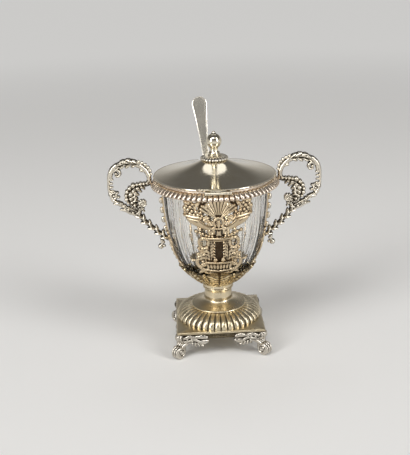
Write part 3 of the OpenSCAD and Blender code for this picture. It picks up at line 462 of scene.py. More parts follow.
def foot_wing():
    """One leaf wing, drawn with the way from the corner across and the height up."""
    wing = Wax((-0.6, 18.9), (5.6, 14.5), 0.12)
    through = line_through
    wing.roll([(2.4, 11.2), (7.0, 11.2), (12.6, 10.8)], [1.4, 2.2, 2.4], 0.05, 0.3)
    # the knob under the corner and the two strands that swing out from it
    wing.dots([(1.2, 12.6, 1.6)], 1.1, 0.5)
    wing.roll(through([(1.8, 12.5), (4.2, 12.0), (7.4, 13.0), (10.2, 12.6), (12.2, 12.8)]),
              [0.8, 0.8, 1.05, 0.95, 0.9], [0.7, 0.8, 0.9], 0.4)
    wing.roll(through([(2.4, 9.9), (4.8, 9.9), (7.2, 10.4), (9.4, 11.1), (11.0, 10.6), (12.6, 9.8)]),
              [0.65, 0.75, 0.85, 0.85, 0.8], [0.6, 0.8, 0.9], 0.4)
    wing.dots([(5.7, 11.2, 0.6), (8.3, 11.9, 0.55)], 0.7, 0.4)
    wing.roll(through([(2.4, 6.4), (4.0, 7.9), (6.2, 9.0), (8.6, 9.7)]),
              [1.0, 1.0, 0.8, 0.6], [1.1, 1.0, 0.7], 0.35)
    # the two full lobes at its free end, and the fringe of small ones below
    wing.roll(through([(11.6, 12.6), (14.0, 12.8), (16.4, 12.4)]), [0.9, 1.45, 1.15], [0.9, 1.25, 1.1], 0.45)
    wing.roll(through([(12.4, 9.5), (15.0, 9.5), (17.0, 10.1)]), [0.9, 1.5, 1.0], [0.9, 1.25, 1.1], 0.45)
    for root, tip in (((12.9, 8.4), (14.5, 7.3)), ((11.5, 8.7), (12.5, 7.2)), ((10.1, 9.0), (10.5, 7.3)),
                      ((8.6, 9.4), (8.6, 8.0))):
        wing.roll([root, tip], [0.55, 0.75, 0.6], [0.6, 0.9, 0.8], 0.35)
    return wing.cast(lambda s, z, h: np.stack([WING_PLANE + np.minimum(h, WING_HIGH), PLINTH_HALF - s, z], 1),
                     lambda s, z, h: np.stack([WING_PLANE + 0 * h, PLINTH_HALF - s, z], 1), 0.4)


foot_silver = silver("foot_silver", (0.66, 0.62, 0.55, 1), (0.48, 0.43, 0.35, 1), (0.06, 0.05, 0.036, 1),
                     0.6, 0.16, 0.25)
wing_points, wing_faces, wing_depth = foot_wing()
corner = np.array([(1, 1, 0), (-1, 1, 0), (0, 0, math.sqrt(2))]) / math.sqrt(2)
diagonal = [(points @ corner, faces, deep) for points, faces, deep in foot_scroll() + foot_knee()]
for turn, name in enumerate(("foot_back_right", "foot_back_left", "foot_front_left", "foot_front_right")):
    quarter = np.array(Matrix.Rotation(math.pi / 2 * turn, 3, "Z")).T
    parts = diagonal + [(wing_points[:, axes], wing_faces, wing_depth) for axes in ([0, 1, 2], [1, 0, 2])]
    foot = mesh_of(f"{name}_cast", [(p @ quarter, f, d) for p, f, d in parts], foot_silver)
    fitted(foot, "stand", "cast_silver", name)

# The plinth is a square plate of rolled silver with its edges eased by the file, on a folded band that
# stands a little back from the plate's edge. Both have gone yellow with age.
SPUN_BRIGHT = (0.77, 0.68, 0.50, 1)
SPUN_WARM = (0.57, 0.46, 0.28, 1)
SPUN_DARK = (0.06, 0.045, 0.025, 1)
PLATE_LOW, PLATE_TOP = box_mm("plinth_plate")[:, 2]
PLATE_EDGE = [(0.3, 0.0), (0.07, 0.1), (0.0, 0.3), (0.0, 0.55), (0.1, 0.74), (0.4, 0.82), (0.5, 1.0)]
BAND_LOW, BAND_WALL = box_mm("plinth_band")[0, 2], 1.2
spun_silver = silver("spun_silver", SPUN_BRIGHT, SPUN_WARM, SPUN_DARK, 0.7, 0.25, 0.2)


def square_ring(section, steps=24):
    """A closed section of (half side, height) carried round a square."""
    side = np.linspace(-1, 1, steps, endpoint=False)
    one = np.ones(steps)
    edges = ((side, -one), (one, side), (-side, one), (-one, -side))
    outline = np.concatenate([np.stack(edge, 1) for edge in edges])
    count = len(outline)
    points = np.concatenate([np.column_stack([half * outline, np.full(count, z)]) for half, z in section])
    return points, grid_faces(len(section), count, ring_rows=True)


plate_section = [(0.1, PLATE_LOW), *[(PLINTH_HALF - back, PLATE_LOW + up) for back, up in PLATE_EDGE]]
plate_section += [(PLINTH_HALF - 0.7, PLATE_TOP), (0.1, PLATE_TOP)]
plate = mesh_of("plinth_plate_rolled", [(*square_ring(plate_section), 0.0)], spun_silver, 40)
fitted(plate, "stand", "spun_silver", "plinth_plate")
inside = BAND_HALF - BAND_WALL
band_section = [
    (inside, BAND_LOW), (BAND_HALF - 0.2, BAND_LOW), (BAND_HALF, BAND_LOW + 0.2), (BAND_HALF, BAND_LOW + 0.8),
    (BAND_HALF - 0.3, BAND_LOW + 1.1), (BAND_HALF - 0.3, PLATE_LOW), (inside, PLATE_LOW)]
# The band is painted darker all round, as the shade under the plate's overhang.
band = mesh_of("plinth_band_folded", [(*square_ring(band_section), 0.6)], spun_silver, 40)
fitted(band, "stand", "spun_silver", "plinth_band")

# The dome is spun and then chased into forty round lobes that run from the plinth up to the stem's skirt.
# Patina and painted shade darken the valleys between the lobes.
DOME_LOW, DOME_TOP = box_mm("dome")[:, 2]
DOME_R, DOME_NECK, DOME_BELLY = 24.5, 15.1, 1.0
DOME_RISE = DOME_TOP - DOME_LOW - DOME_BELLY
DOME_LOBES, DOME_DEPTH = 40, 1.15


def lobes_tree():
    """Chases lobes round a turned blank, or hollow flutes, as deep as the blank's own swell allows."""
    number = "NodeSocketFloat"
    tree, given, out = new_tree("chased_lobes", "GeometryNodeTree", [
        ("Blank", "NodeSocketGeometry", None), ("Lobes", number, 24.0), ("Depth", number, 0.001),
        ("Hollow", number, 0.0), ("Dart", number, 0.0), ("Finish", "NodeSocketMaterial", None)],
        [("Piece", "NodeSocketGeometry")])
    place = add(tree, "ShaderNodeSeparateXYZ", add(tree, "GeometryNodeInputPosition").outputs[0]).outputs
    angle = math_of(tree, "ARCTAN2", place[1], place[0])
    turns = math_of(tree, "MULTIPLY", math_of(tree, "DIVIDE", angle, 2 * math.pi), given["Lobes"])
    across = math_of(tree, "MULTIPLY_ADD", math_of(tree, "FRACT", turns), 2.0, -1.0)
    off = math_of(tree, "ABSOLUTE", across)
    narrowed = math_of(tree, "MULTIPLY_ADD", off, math_of(tree, "MULTIPLY", given["Dart"], 0.35), off)
    narrowed = math_of(tree, "MINIMUM", narrowed, 1.0)
    square = math_of(tree, "MULTIPLY", narrowed, narrowed)
    crest = math_of(tree, "SQRT", math_of(tree, "SUBTRACT", 1.0, square))
    dart = add(tree, "ShaderNodeMapRange", off, 0.86, 1.0, 0.0, given["Dart"]).outputs[0]
    crest = math_of(tree, "MAXIMUM", crest, dart)
    valley = math_of(tree, "SUBTRACT", 1.0, crest)
    cut = add(tree, "ShaderNodeMix", given["Hollow"], None, valley, crest).outputs[0]
    swell = add(tree, "GeometryNodeInputNamedAttribute", "swell", data_type="FLOAT").outputs[0]
    depth = math_of(tree, "MULTIPLY", math_of(tree, "MULTIPLY", cut, swell), given["Depth"])
    outward = add(tree, "GeometryNodeInputNormal").outputs[0]
    move = add(tree, "ShaderNodeVectorMath", outward, operation="SCALE")
    tree.links.new(math_of(tree, "MULTIPLY", depth, -1.0), move.inputs["Scale"])
    shaped = add(tree, "GeometryNodeSetPosition", given["Blank"], None, None, move.outputs[0]).outputs[0]
    # The valleys are painted dark, as patina and shade, most where the blank swells.
    dark = math_of(tree, "MULTIPLY", valley, math_of(tree, "MULTIPLY", swell, 1.3))
    kept = add(tree, "GeometryNodeStoreNamedAttribute", shaped, None, "patina_and_shade", dark, data_type="FLOAT")
    whole = add(tree, "GeometryNodeRealizeInstances", kept.outputs[0]).outputs[0]
    dressed = add(tree, "GeometryNodeSetMaterial", whole, None, given["Finish"]).outputs[0]
    tree.links.new(dressed, out["Piece"])
    return tree


def grown(blank, tree, sizes):
    """The plain mesh that a node tree makes of a blank, with the tree's inputs set by name."""
    bpy.context.scene.collection.objects.link(blank)
    work = blank.modifiers.new(tree.name, "NODES")
    work.node_group = tree
    for socket in tree.interface.items_tree:
        if socket.name in sizes:
            work[socket.identifier] = sizes[socket.name]
    made = bpy.data.meshes.new_from_object(blank.evaluated_get(bpy.context.evaluated_depsgraph_get()))
    blank.modifiers.remove(work)
    bpy.context.scene.collection.objects.unlink(blank)
    blank.data = made
    return blank


chased_lobes = lobes_tree()


def lobed(name, rows, lobes, steps, depth, finish, hollow=0.0, sharp=50, dart=0.0):
    """A turned ring with lobes or flutes chased round it: rows are (radius, height, share of the depth)."""
    rows = np.asarray(rows, float)
    blank = mesh_of(name, [(*turned(rows[:, :2], lobes * steps), 0.0)], finish, sharp)
    swell = blank.data.attributes.new("swell", "FLOAT", "POINT")
    swell.data.foreach_set("value", np.repeat(rows[:, 2], lobes * steps).astype(np.float32))
    sizes = {"Lobes": float(lobes), "Depth": depth * MM, "Hollow": hollow, "Dart": dart, "Finish": finish}
    return grown(blank, chased_lobes, sizes)


dome_rows = [
    (DOME_NECK + (DOME_R - DOME_NECK) * math.cos(a),
     DOME_LOW + DOME_BELLY + (5.5 * DOME_BELLY if a < 0 else DOME_RISE) * math.sin(a),
     0.3 + 0.7 * max(0.0, math.cos(a)) ** 0.7)
    for a in np.radians(np.linspace(-10.4, 90, 27))]
dome_rows += [(DOME_NECK - 0.6, DOME_TOP, 0), (DOME_NECK - 0.6, DOME_LOW, 0)]
dome = lobed("dome_chased", dome_rows, DOME_LOBES, 14, DOME_DEPTH, spun_silver)
fitted(dome, "stand", "spun_silver", "dome")

# The stem is a spun spool: a flared skirt that covers the dome's neck, fine turned rings, a plain shaft
# and a flange under the basket. It is hollow, and a bolt inside ties the foot and the basket together.
STEM_LOW, STEM_TOP = box_mm("stem")[:, 2]
STEM_HIGH = STEM_TOP - STEM_LOW
SHAFT_R, BORE_R, SKIRT_HIGH, RING_PITCH = 7.9, 2.3, 4.2, 0.55
RING_SECTION = [(0.2, 0.02), (0.4, 0.1), (0.45, 0.2), (0.35, 0.32), (0.05, 0.38), (0.0, 0.5)]
skirt = curve([(15.0, 1.1), (10.9, 1.4), (8.3, 2.6), (SHAFT_R, SKIRT_HIGH)], 24)
stem_line = [(BORE_R, 0.0), (15.5, 0.0), (15.75, 0.15), (15.8, 0.4), (15.8, 0.75), (15.6, 1.0), (15.2, 1.1)]
stem_line += [tuple(p) for p in skirt]
for ring in range(3):
    stem_line += [(SHAFT_R + out, SKIRT_HIGH + RING_PITCH * ring + up) for out, up in RING_SECTION]
stem_line += [(SHAFT_R, 7.0), (7.88, 8.7), (SHAFT_R, 10.3), (8.1, 10.5), (8.6, 10.62), (8.8, 10.85)]
stem_line += [(8.8, 11.2), (8.6, 11.45), (8.2, 11.6), (8.1, 11.9), (8.2, 12.6), (8.4, 13.5)]
stem_line += [(8.3, STEM_HIGH), (BORE_R, STEM_HIGH)]
stem_points, stem_faces = turned([(r, STEM_LOW + z) for r, z in stem_line], 160)
stem_r = np.hypot(stem_points[:, 0], stem_points[:, 1])
# The rings at the foot of the shaft are painted darker, as patina and shade in their furrows.
ring_depth = np.where((stem_r < 8.0) & (stem_points[:, 2] < STEM_LOW + 6.2), 0.35, 0.0)
stem = mesh_of("stem_spun", [(stem_points, stem_faces, ring_depth)], spun_silver, 45)
fitted(stem, "stand", "spun_silver", "stem")

# The calyx is the cast cup that carries the basket. Acanthus leaves are chased on it side by side: broad
# ones under the panels and straps, pointed ones at the corners and slim ones between. Age has turned it
# golden, and the bolt in the stem ties it to the foot.
LINER_LOW, LINER_TOP = box_mm("glass_liner")[:, 2]
GLASS_LINE = curve([(28.9, LINER_TOP), (29.6, 74.0), (25.0, 44.0), (8.0, LINER_LOW)], 90)
BASKET_LOW = box_mm("front_panel")[0, 2]
CUP_LOW, CUP_TOP, METAL_GAP = box_mm("calyx")[0, 2], 47.4, 0.3
LEAF_COUNT, DRAWN_R = 4, 15.0
LEAF_CORNER, LEAF_BETWEEN = 11.78, 6.2
gilt_silver = silver("calyx_silver", (0.80, 0.68, 0.45, 1), (0.58, 0.43, 0.23, 1), (0.10, 0.065, 0.03, 1),
                     0.7, 0.16, 0.25)
cup_inside = [tuple(p) for p in beside(GLASS_LINE, METAL_GAP) if 41.2 < p[1] < CUP_TOP]
cup_outside = line_through([(8.2, CUP_LOW), (9.2, 36.9), (11.4, 38.6), (14.0, 40.5), (17.3, 43.4),
                            (20.2, 46.4), (21.9, BASKET_LOW - 0.03)], 8)
cup = [(BORE_R, CUP_LOW), *(tuple(p) for p in cup_outside if p[1] < CUP_TOP), *cup_inside,
       (7.4, LINER_LOW - METAL_GAP), (4.2, CUP_LOW + 1.3), (BORE_R, CUP_LOW + 1.3)]
cup_run = np.concatenate([[0], np.cumsum(np.linalg.norm(np.diff(cup_outside, axis=0), axis=1))])
leaf_pitch = 2 * math.pi / LEAF_COUNT


def leaf_fold(x):
    """The way from the middle of the nearest broad leaf, drawn flat."""
    return np.abs((x / DRAWN_R + leaf_pitch / 2) % leaf_pitch - leaf_pitch / 2) * DRAWN_R


def on_cup(x, z, h):
    """A drawn point on the outside of the cup, h above its skin."""
    d = np.gradient(cup_outside, axis=0)
    d /= np.linalg.norm(d, axis=1)[:, None]
    r, up, dr, dz = (np.interp(z, cup_run, v) for v in (*cup_outside.T, *d.T))
    out, a = r + h * dz, x / DRAWN_R - math.pi / 2
    return np.stack([out * np.cos(a), out * np.sin(a), up - h * dr], 1)


calyx_wax = Wax((-math.pi * DRAWN_R, math.pi * DRAWN_R), (0.4, cup_run[-1] - 0.3), 0.21, leaf_fold)
calyx_wax.leaf([(0, 1.2), (0, 8), (0, 18.6)], [2.6, 4.0, 4.9, 5.0, 4.6], [0.6, 0.8, 0.9, 0.7], 6, 0.15, 0.3)
calyx_wax.leaf([(LEAF_CORNER, 1.2), (LEAF_CORNER, 6), (LEAF_CORNER, 18.5)], [2.2, 4.0, 4.8, 4.4, 1.6],
               [0.6, 0.9, 0.8, 0.6], 6, 0.15, 0.4)
calyx_wax.leaf([(LEAF_BETWEEN, 1.2), (LEAF_BETWEEN, 4), (LEAF_BETWEEN, 17.0)], [1.4, 2.4, 2.4, 0.6],
               [0.5, 0.7, 0.5], 5, 0.12, 0.35)
calyx_wax.roll([(0, 0.9), (11.8, 0.9)], 0.5, 0.5, 0.1)
calyx_skin = calyx_wax.cast(on_cup, lambda x, z, h: on_cup(x, z, 0 * h - 0.8), 0.12)
# The turned cup between the leaves is painted somewhat dark, as patina and shade.
calyx = mesh_of("calyx_cast", [(*turned(cup, 160), 0.4), calyx_skin], gilt_silver)
fitted(calyx, "stand", "cast_silver", "calyx")

# The liner is a cup of clear glass, cut outside with long flutes that meet in sharp ridges, and plain
# inside. It stands in the basket and lifts out when the lid is open.
LINER_FLUTES, FLUTE_DEPTH, LINER_WALL, LINER_FLOOR = 24, 0.65, 2.4, 3.0
inner_low = LINER_LOW + LINER_FLOOR
clear_glass = bpy.data.materials.new("cut_glass")
clear_glass.use_nodes = True
glass_tree = clear_glass.node_tree
glass = glass_tree.nodes["Principled BSDF"]
glass.inputs["Base Color"].default_value = (1.0, 0.99, 0.965, 1)
glass.inputs["Roughness"].default_value = 0.02
glass.inputs["IOR"].default_value = 1.5
glass.inputs["Transmission Weight"].default_value = 1.0
glass_place = add(glass_tree, "ShaderNodeTexCoord").outputs["Object"]
glass_long = add(glass_tree, "ShaderNodeMapping", glass_place, None, None, (1.0, 1.0, 0.16)).outputs[0]
glass_ripple = add(glass_tree, "ShaderNodeTexNoise", glass_long, None, 45.0, 1.0, 0.4).outputs[0]
glass_bump = add(glass_tree, "ShaderNodeBump", 0.3, 0.0006)
glass_tree.links.new(glass_ripple, glass_bump.inputs["Height"])
glass_tree.links.new(glass_bump.outputs[0], glass.inputs["Normal"])
outer = GLASS_LINE[::-1]
inner = [p for p in beside(GLASS_LINE, -LINER_WALL) if p[1] > inner_low + 1.2]
liner_rows = [(0.02, LINER_LOW, 0), (7.6, LINER_LOW, 0)]
liner_rows += [(r, z, np.clip((r - 10) / 4, 0, 1) * np.clip((LINER_TOP - 0.4 - z) / 1.5, 0, 1))
               for r, z in outer]
liner_rows += [(28.3, LINER_TOP, 0), (27.3, LINER_TOP, 0)]
liner_rows += [(r, z, 0) for r, z in inner]
liner_rows += [(10, inner_low + 0.2, 0), (7, inner_low, 0), (0.02, inner_low, 0)]
liner = lobed("glass_liner_cut", liner_rows, LINER_FLUTES, 12, FLUTE_DEPTH, clear_glass, 1.0, 25)
fitted(liner, "stand", "glass", "glass_liner")

# The two panels of the basket are pierced castings that follow the bowl, soldered to the rim and the calyx:
# a scallop shell over a boss, two horns of plenty with fruit, and a vase with two leafy columns, scrolls
# and flowers.
RIM_LOW = box_mm("rim_ring")[0, 2]
BASKET_DEEP, METAL_HIGH = RIM_LOW - BASKET_LOW, 1.9
SLOT_HALF, SLOT_TOP, SLOT_LOW, SLOT_SHADE = 1.95, -24.3, -34.3, 0.66
BOWL_OUT = np.linspace(-0.5, 3.5, 9)
BOWL_Z = np.linspace(38, 97, 300)
BOWL_R = np.array([np.interp(BOWL_Z, *beside(GLASS_LINE, out)[::-1, ::-1].T) for out in BOWL_OUT])


def bowl_radius(z, out):
    """Radius of the bowl at some heights, that far outside the glass."""
    row = np.clip((out - BOWL_OUT[0]) / (BOWL_OUT[1] - BOWL_OUT[0]), 0, len(BOWL_OUT) - 1.001)
    column = np.clip((z - BOWL_Z[0]) / (BOWL_Z[1] - BOWL_Z[0]), 0, len(BOWL_Z) - 1.001)
    i, k = row.astype(int), column.astype(int)
    u, v = row - i, column - k
    low = BOWL_R[i, k] * (1 - v) + BOWL_R[i, k + 1] * v
    high = BOWL_R[i + 1, k] * (1 - v) + BOWL_R[i + 1, k + 1] * v
    return low * (1 - u) + high * u


def on_bowl(x, z, h):
    """A drawn point on the front of the bowl, h outside the metal's inner face."""
    z = np.clip(z + RIM_LOW, BASKET_LOW + 0.02, RIM_LOW - 0.02)
    r = bowl_radius(z, METAL_GAP + np.clip(h, 0, METAL_HIGH))
    return np.stack([x, -np.sqrt(np.maximum(r * r - x * x, 1.0)), z], 1)


def behind_metal(x, z, h):
    """A drawn point on the metal's inner face."""
    return on_bowl(x, z, 0 * h)


def shell(wax, foot, r, spread_deg, ribs, high, base):
    """A scallop shell: ribs that fan out from its foot to a scalloped edge."""
    spot = wax.near([(foot[0], foot[1] + r / 2)], r)
    dx, dz = wax.x[spot] - foot[0], wax.z[spot] - foot[1]
    away, a = np.hypot(dx, dz), np.degrees(np.arctan2(dx, dz))
    rib = np.abs(np.cos(math.pi * ribs * a / spread_deg)) ** 0.6
    reach = r * (0.93 + 0.07 * rib)
    inside = np.minimum(reach - away, np.radians(spread_deg / 2 - np.abs(a)) * away)
    form = (0.25 + 0.75 * rib) * (0.45 + 0.55 * np.clip(away / r, 0, 1))
    wax.lay(spot, inside, base + high * form)


def panel_wax():
    """One panel drawn flat, with the way from its middle across and the height under the rim up."""
    wax = Wax((-18.6, 18.61), (-BASKET_DEEP, 0.05), 0.155, np.abs)
    shell(wax, (0, -11.3), 11.2, 124, 11, 0.85, 0.75)
    wax.roll(line_through([(0, -0.6), (6, -0.5), (12, -0.6)]), 0.7, 0.5, 0.6)
    wax.roll([(7.4, -1.4), (9.6, -4.4), (9.4, -9.0)], [1.3, 0.9, 1.0], 0.3, 0.4)
    wax.dots([(8.6, -3.6, 0.8), (9.3, -5.4, 0.9), (9.5, -7.4, 0.85), (8.9, -9.2, 0.8)], 0.9, 0.8)
    # the horseshoe boss and the scrolls beside it
    arch = [(2.6 * math.sin(a), -12.7 + 2.6 * math.cos(a)) for a in np.radians(np.linspace(0, 135, 14))]
    wax.roll(arch + [(2.5, -15.6), (3.6, -16.0)], [0.8, 0.8, 0.7], 1.1, 0.85)
    wax.roll([(0, -12.2), (0, -14.8)], [0.85, 1.25], 0.75, 0.6)
    wax.roll([(0, -16.4), (3.4, -16.2)], 0.6, 0.9, 0.8)
    wax.roll([(0, -16.4), (0, -22)], 1.5, 0.4, 0.5)
    wax.flower(6.6, -10.9, 2.0, 6, 0.9, 0.8)
    wax.coil(4.4, -13.2, 1.4, 20, -1.4, [0.55, 0.45], [0.9, 0.7], 0.8)
    # the horn, its lip, its curled tail and its fruit
    horn = curve([(14.0, -10.6), (11.8, -13.3), (7.8, -15.3), (3.6, -16.9)], 20)
    wax.roll(horn, [3.1, 2.5, 1.9, 1.4, 1.0], [1.1, 1.1, 1.0, 0.8], 0.55)
    wax.roll(line_through([(9.4, -10.4), (13.4, -10.1), (17.9, -9.4)]), [0.8, 1.0, 0.8], 1.1, 0.8)
    wax.roll(line_through([(9.9, -11.8), (13.2, -11.5), (16.8, -11.1)]), [0.4, 0.5, 0.4], 0.9, 0.95)
    wax.coil(4.2, -18.1, 1.8, 100, 1.45, [0.8, 0.65, 0.5], [1.1, 0.8], 0.75)
    fruit = [(10.9, -8.9), (13.0, -8.9), (15.2, -8.4), (17.2, -7.7), (11.9, -7.0), (14.0, -6.8), (16.2, -6.3),
             (18.0, -5.6), (12.6, -5.0), (14.9, -4.6), (17.0, -4.2), (13.6, -3.0), (15.8, -2.5), (11.4, -3.2),
             (14.4, -1.2), (17.2, -2.3)]
    for k, (x, z) in enumerate(fruit):
        if k % 5 == 3:
            wax.flower(x, z, 1.35, 5, 0.85, 0.75, 0.4 * k)
        else:
            wax.dot(x, z, 1.18 - 0.05 * (k % 3), 1.0, 0.7 + 0.1 * (k % 2))
    wax.leaf(line_through([(12.4, -4.4), (10.9, -2.8), (9.6, -1.6)]), [0.7, 1.1, 0.4], 0.8, 3, 0.6)
    # the beaded sprig under the horn
    sprig = line_through([(1.8, -20.5), (4.6, -20.8), (7.2, -20.1), (9.6, -19.1), (12.2, -18.3)], 8)
    wax.roll(sprig, 0.45, 0.2, 0.4)
    for t in np.linspace(0.16, 1, 6):
        x, z = sprig[int(t * (len(sprig) - 1))]
        wax.dot(x, z, 0.75 + 0.25 * t, 1.1, 0.6)
    wax.leaf(line_through([(6.4, -20.9), (8.0, -22.2), (9.6, -22.9)]), [0.5, 0.8, 0.3], 0.6, 2, 0.6)
    # the vase's lip, its leafy columns and their pearls
    wax.roll([(0, -22.3), (6.6, -22.2)], [0.9, 0.8], 1.1, 0.8)
    wax.roll([(0, -23.6), (5.9, -23.5)], 0.5, 0.7, 0.7)
    wax.roll([(0, -24), (0, -36.6)], 2.0, 0.02, 0.2)
    column = line_through([(4.6, -36.6), (5.0, -30.5), (4.7, -24.0)], 8)
    wax.roll(column, [2.0, 2.3, 2.1], 0.4, 0.4)
    wax.leaf(column, [2.0, 2.3, 2.1], [0.85, 0.95, 0.85], 6, 0.4, 0.08, 0.9, 0.3)
    for z in np.linspace(-24.7, -33.7, 6):
        wax.dot(2.5, z, 0.68, 1.1, 0.7)
    wax.dot(2.1, -35.6, 1.3, 1.2, 0.75)
    # the curved handles of the vase, the flowers and the beads beside the columns
    ring = [(8.3 + 2.3 * math.cos(a), -25.0 + 3.1 * math.sin(a))
            for a in np.radians(np.linspace(135, -130, 24))]
    wax.roll(ring, [0.8, 1.0, 1.0, 0.8], 1.0, 0.65, 2)
    wax.dots([(6.9, -22.6, 0.9), (6.7, -28.0, 0.95), (9.0, -28.6, 0.95), (11.0, -28.4, 0.85)], 0.95, 0.8)
    wax.roll(line_through([(5.8, -30.6), (8.4, -30.0), (10.6, -29.6)]), [0.9, 0.8, 0.7], 0.7, 0.5)
    wax.flower(9.9, -33.4, 2.7, 6, 1.05, 0.75)
    wax.leaf(line_through([(8.0, -30.6), (7.2, -33.6), (7.2, -36.2)]), [0.7, 1.1, 0.6], 0.8, 3, 0.6)
    wax.dots([(8.9, -37.0, 0.9), (11.6, -36.0, 0.8)], 0.9, 0.75)
    # the ribbed cup and the leaves round its foot
    wax.roll([(0, -37.7), (7.2, -37.4)], [0.85, 0.75], 1.1, 0.8)
    for k in range(4):
        wax.roll([(0.95 + 1.8 * k, -38.7), (0.85 + 1.6 * k, -42.2)], [0.9, 0.8], [0.7, 0.5], 0.6)
    wax.roll([(0, -43.3), (6.2, -42.8)], 0.65, 0.9, 0.75)
    wax.roll([(0, -44.6), (6.6, -45.0)], 1.3, 0.7, 0.5)
    scroll = curve([(11.0, -35.4), (13.4, -38.0), (11.4, -43.2), (5.0, -43.8)], 14)
    wax.roll(scroll, [0.9, 1.1, 1.1, 0.8], 0.8, 0.6, 2)
    wax.leaf(line_through([(6.6, -38.4), (8.6, -39.2), (10.8, -40.9)]), [0.8, 1.5, 0.5], 0.9, 3, 0.65)
    wax.leaf(line_through([(6.0, -42.4), (8.4, -43.4), (10.6, -45.4)]), [0.8, 1.5, 0.7], 0.8, 3, 0.6)
    wax.leaf(line_through([(12.4, -36.6), (14.4, -37.0), (15.6, -35.8)]), [0.6, 1.0, 0.4], 0.7, 2, 0.6)
    return wax


panel_silver = silver("panel_silver", (0.72, 0.60, 0.42, 1), (0.46, 0.33, 0.19, 1), (0.055, 0.035, 0.02, 1),
                      0.7, 0.15, 0.25)
panel_points, panel_faces, panel_depth = panel_wax().cast(on_bowl, behind_metal, 0.45, 1.2)
# The slot between the vase's columns is painted dark, as the shade that falls in it.
drop = panel_points[:, 2] - RIM_LOW
in_slot = (np.abs(panel_points[:, 0]) < SLOT_HALF) & (drop < SLOT_TOP) & (drop > SLOT_LOW)
panel_depth = np.where(in_slot, SLOT_SHADE, panel_depth)
for name, side in (("front_panel", 1), ("back_panel", -1)):
    points = panel_points * (side, side, 1)
    panel = mesh_of(f"{name}_pierced", [(points, panel_faces, panel_depth)], panel_silver, 75)
    fitted(panel, "stand", "cast_silver", name)

# The two straps run down the sides of the basket under the handles, soldered to the rim and the calyx: a
# narrow cast band with long husks in a row above the handle's joint, a flower at the joint, and scrolls
# and small beads below it.
HUSK_PITCH, HUSK_HALF, HUSK_R, HUSK_OUT = 4.9, 1.95, 1.25, 1.75
BEAD_PITCH, BEAD_R, BEAD_OUT = 2.5, 1.0, 1.55
JOINT = -30.0
cast_silver = silver("cast_silver", (0.78, 0.73, 0.63, 1), (0.58, 0.51, 0.40, 1), (0.08, 0.066, 0.048, 1),
                     0.55, 0.15, 0.25)


def bead_tree():
    """Threads round or long beads on the lines of a mesh, at an even pitch."""
    number = "NodeSocketFloat"
    tree, given, out = new_tree("bead_row", "GeometryNodeTree", [
        ("Lines", "NodeSocketGeometry", None), ("Pitch", number, 0.002), ("Width", number, 0.001),
        ("Length", number, 0.001), ("Finish", "NodeSocketMaterial", None)], [("Row", "NodeSocketGeometry")])
    line = add(tree, "GeometryNodeMeshToCurve", given["Lines"]).outputs[0]
    even = add(tree, "GeometryNodeResampleCurve", line, mode="LENGTH")
    tree.links.new(given["Pitch"], even.inputs["Length"])
    bead = add(tree, "GeometryNodeMeshUVSphere", 14, 9, 1.0).outputs[0]
    tangent = add(tree, "GeometryNodeInputTangent").outputs[0]
    lie = add(tree, "FunctionNodeAlignRotationToVector", None, None, tangent, axis="Z").outputs[0]
    size = add(tree, "ShaderNodeCombineXYZ", given["Width"], given["Width"], given["Length"]).outputs[0]
    threaded = add(tree, "GeometryNodeInstanceOnPoints", even.outputs[0])
    for label, value in (("Instance", bead), ("Rotation", lie), ("Scale", size)):
        tree.links.new(value, threaded.inputs[label])
    whole = add(tree, "GeometryNodeRealizeInstances", threaded.outputs[0]).outputs[0]
    smooth = add(tree, "GeometryNodeSetShadeSmooth", whole).outputs[0]
    dressed = add(tree, "GeometryNodeSetMaterial", smooth, None, given["Finish"]).outputs[0]
    tree.links.new(dressed, out["Row"])
    return tree


bead_row = bead_tree()


def beads(name, lines, pitch, width, length, finish):
    """A row of beads along each of some lines in millimetres, as one piece."""
    points, edges = [], []
    for line in lines:
        edges += [(len(points) + k, len(points) + k + 1) for k in range(len(line) - 1)]
        points += (np.asarray(line) * MM).tolist()
    mesh = bpy.data.meshes.new(name)
    mesh.from_pydata(points, edges, [])
    sizes = {"Pitch": pitch * MM, "Width": width * MM, "Length": length * MM, "Finish": finish}
    return grown(bpy.data.objects.new(name, mesh), bead_row, sizes)


strap_wax = Wax((-8.0, 8.01), (-BASKET_DEEP, 0.05), 0.15, np.abs)
strap_wax.roll([(0, -0.2), (0, -46)], [1.9, 1.9, 1.7], 0.35, 0.5)
strap_wax.flower(0, JOINT, 4.0, 8, 1.0, 0.7)
strap_scroll = curve([(1.6, -31), (6.8, -33.5), (7.2, -40.5), (1.6, -43)], 16)
strap_wax.roll(strap_scroll, [0.9, 1.0, 0.9], 0.9, 0.55, 2)
strap_wax.leaf(line_through([(4.8, -33.6), (6.2, -31.4), (6.6, -29.4)]), [0.6, 1.2, 0.4], 0.8, 3, 0.5)
strap_wax.leaf(line_through([(1.6, -41.6), (3.6, -43.6), (5.0, -45.8)]), [1.0, 1.8, 0.9], 0.9, 3, 0.5)
strap_wax.coil(4.2, -37.2, 1.6, 60, -1.4, [0.6, 0.45], [0.9, 0.7], 0.6)
strap_wax.roll([(1.6, -37.2), (3.4, -36.8)], 0.6, 0.6, 0.5)
strap_points, strap_faces, strap_depth = strap_wax.cast(on_bowl, behind_metal, 0.45)
husk_z = np.linspace(RIM_LOW - 2.6, RIM_LOW + JOINT + 5.0, 40)
low_z = np.linspace(RIM_LOW - 35.0, BASKET_LOW + 0.8, 40)
husk_lines, low_lines = [], []
for name, side in (("right_strap", 1), ("left_strap", -1)):
    points = np.stack([-side * strap_points[:, 1], side * strap_points[:, 0], strap_points[:, 2]], 1)
    strap = mesh_of(f"{name}_cast", [(points, strap_faces, strap_depth)], panel_silver, 75)
    fitted(strap, "stand", "cast_silver", name)
    for lines, z, out in ((husk_lines, husk_z, HUSK_OUT), (low_lines, low_z, BEAD_OUT)):
        lines.append(np.stack([side * bowl_radius(z, 0 * z + out), 0 * z, z], 1))
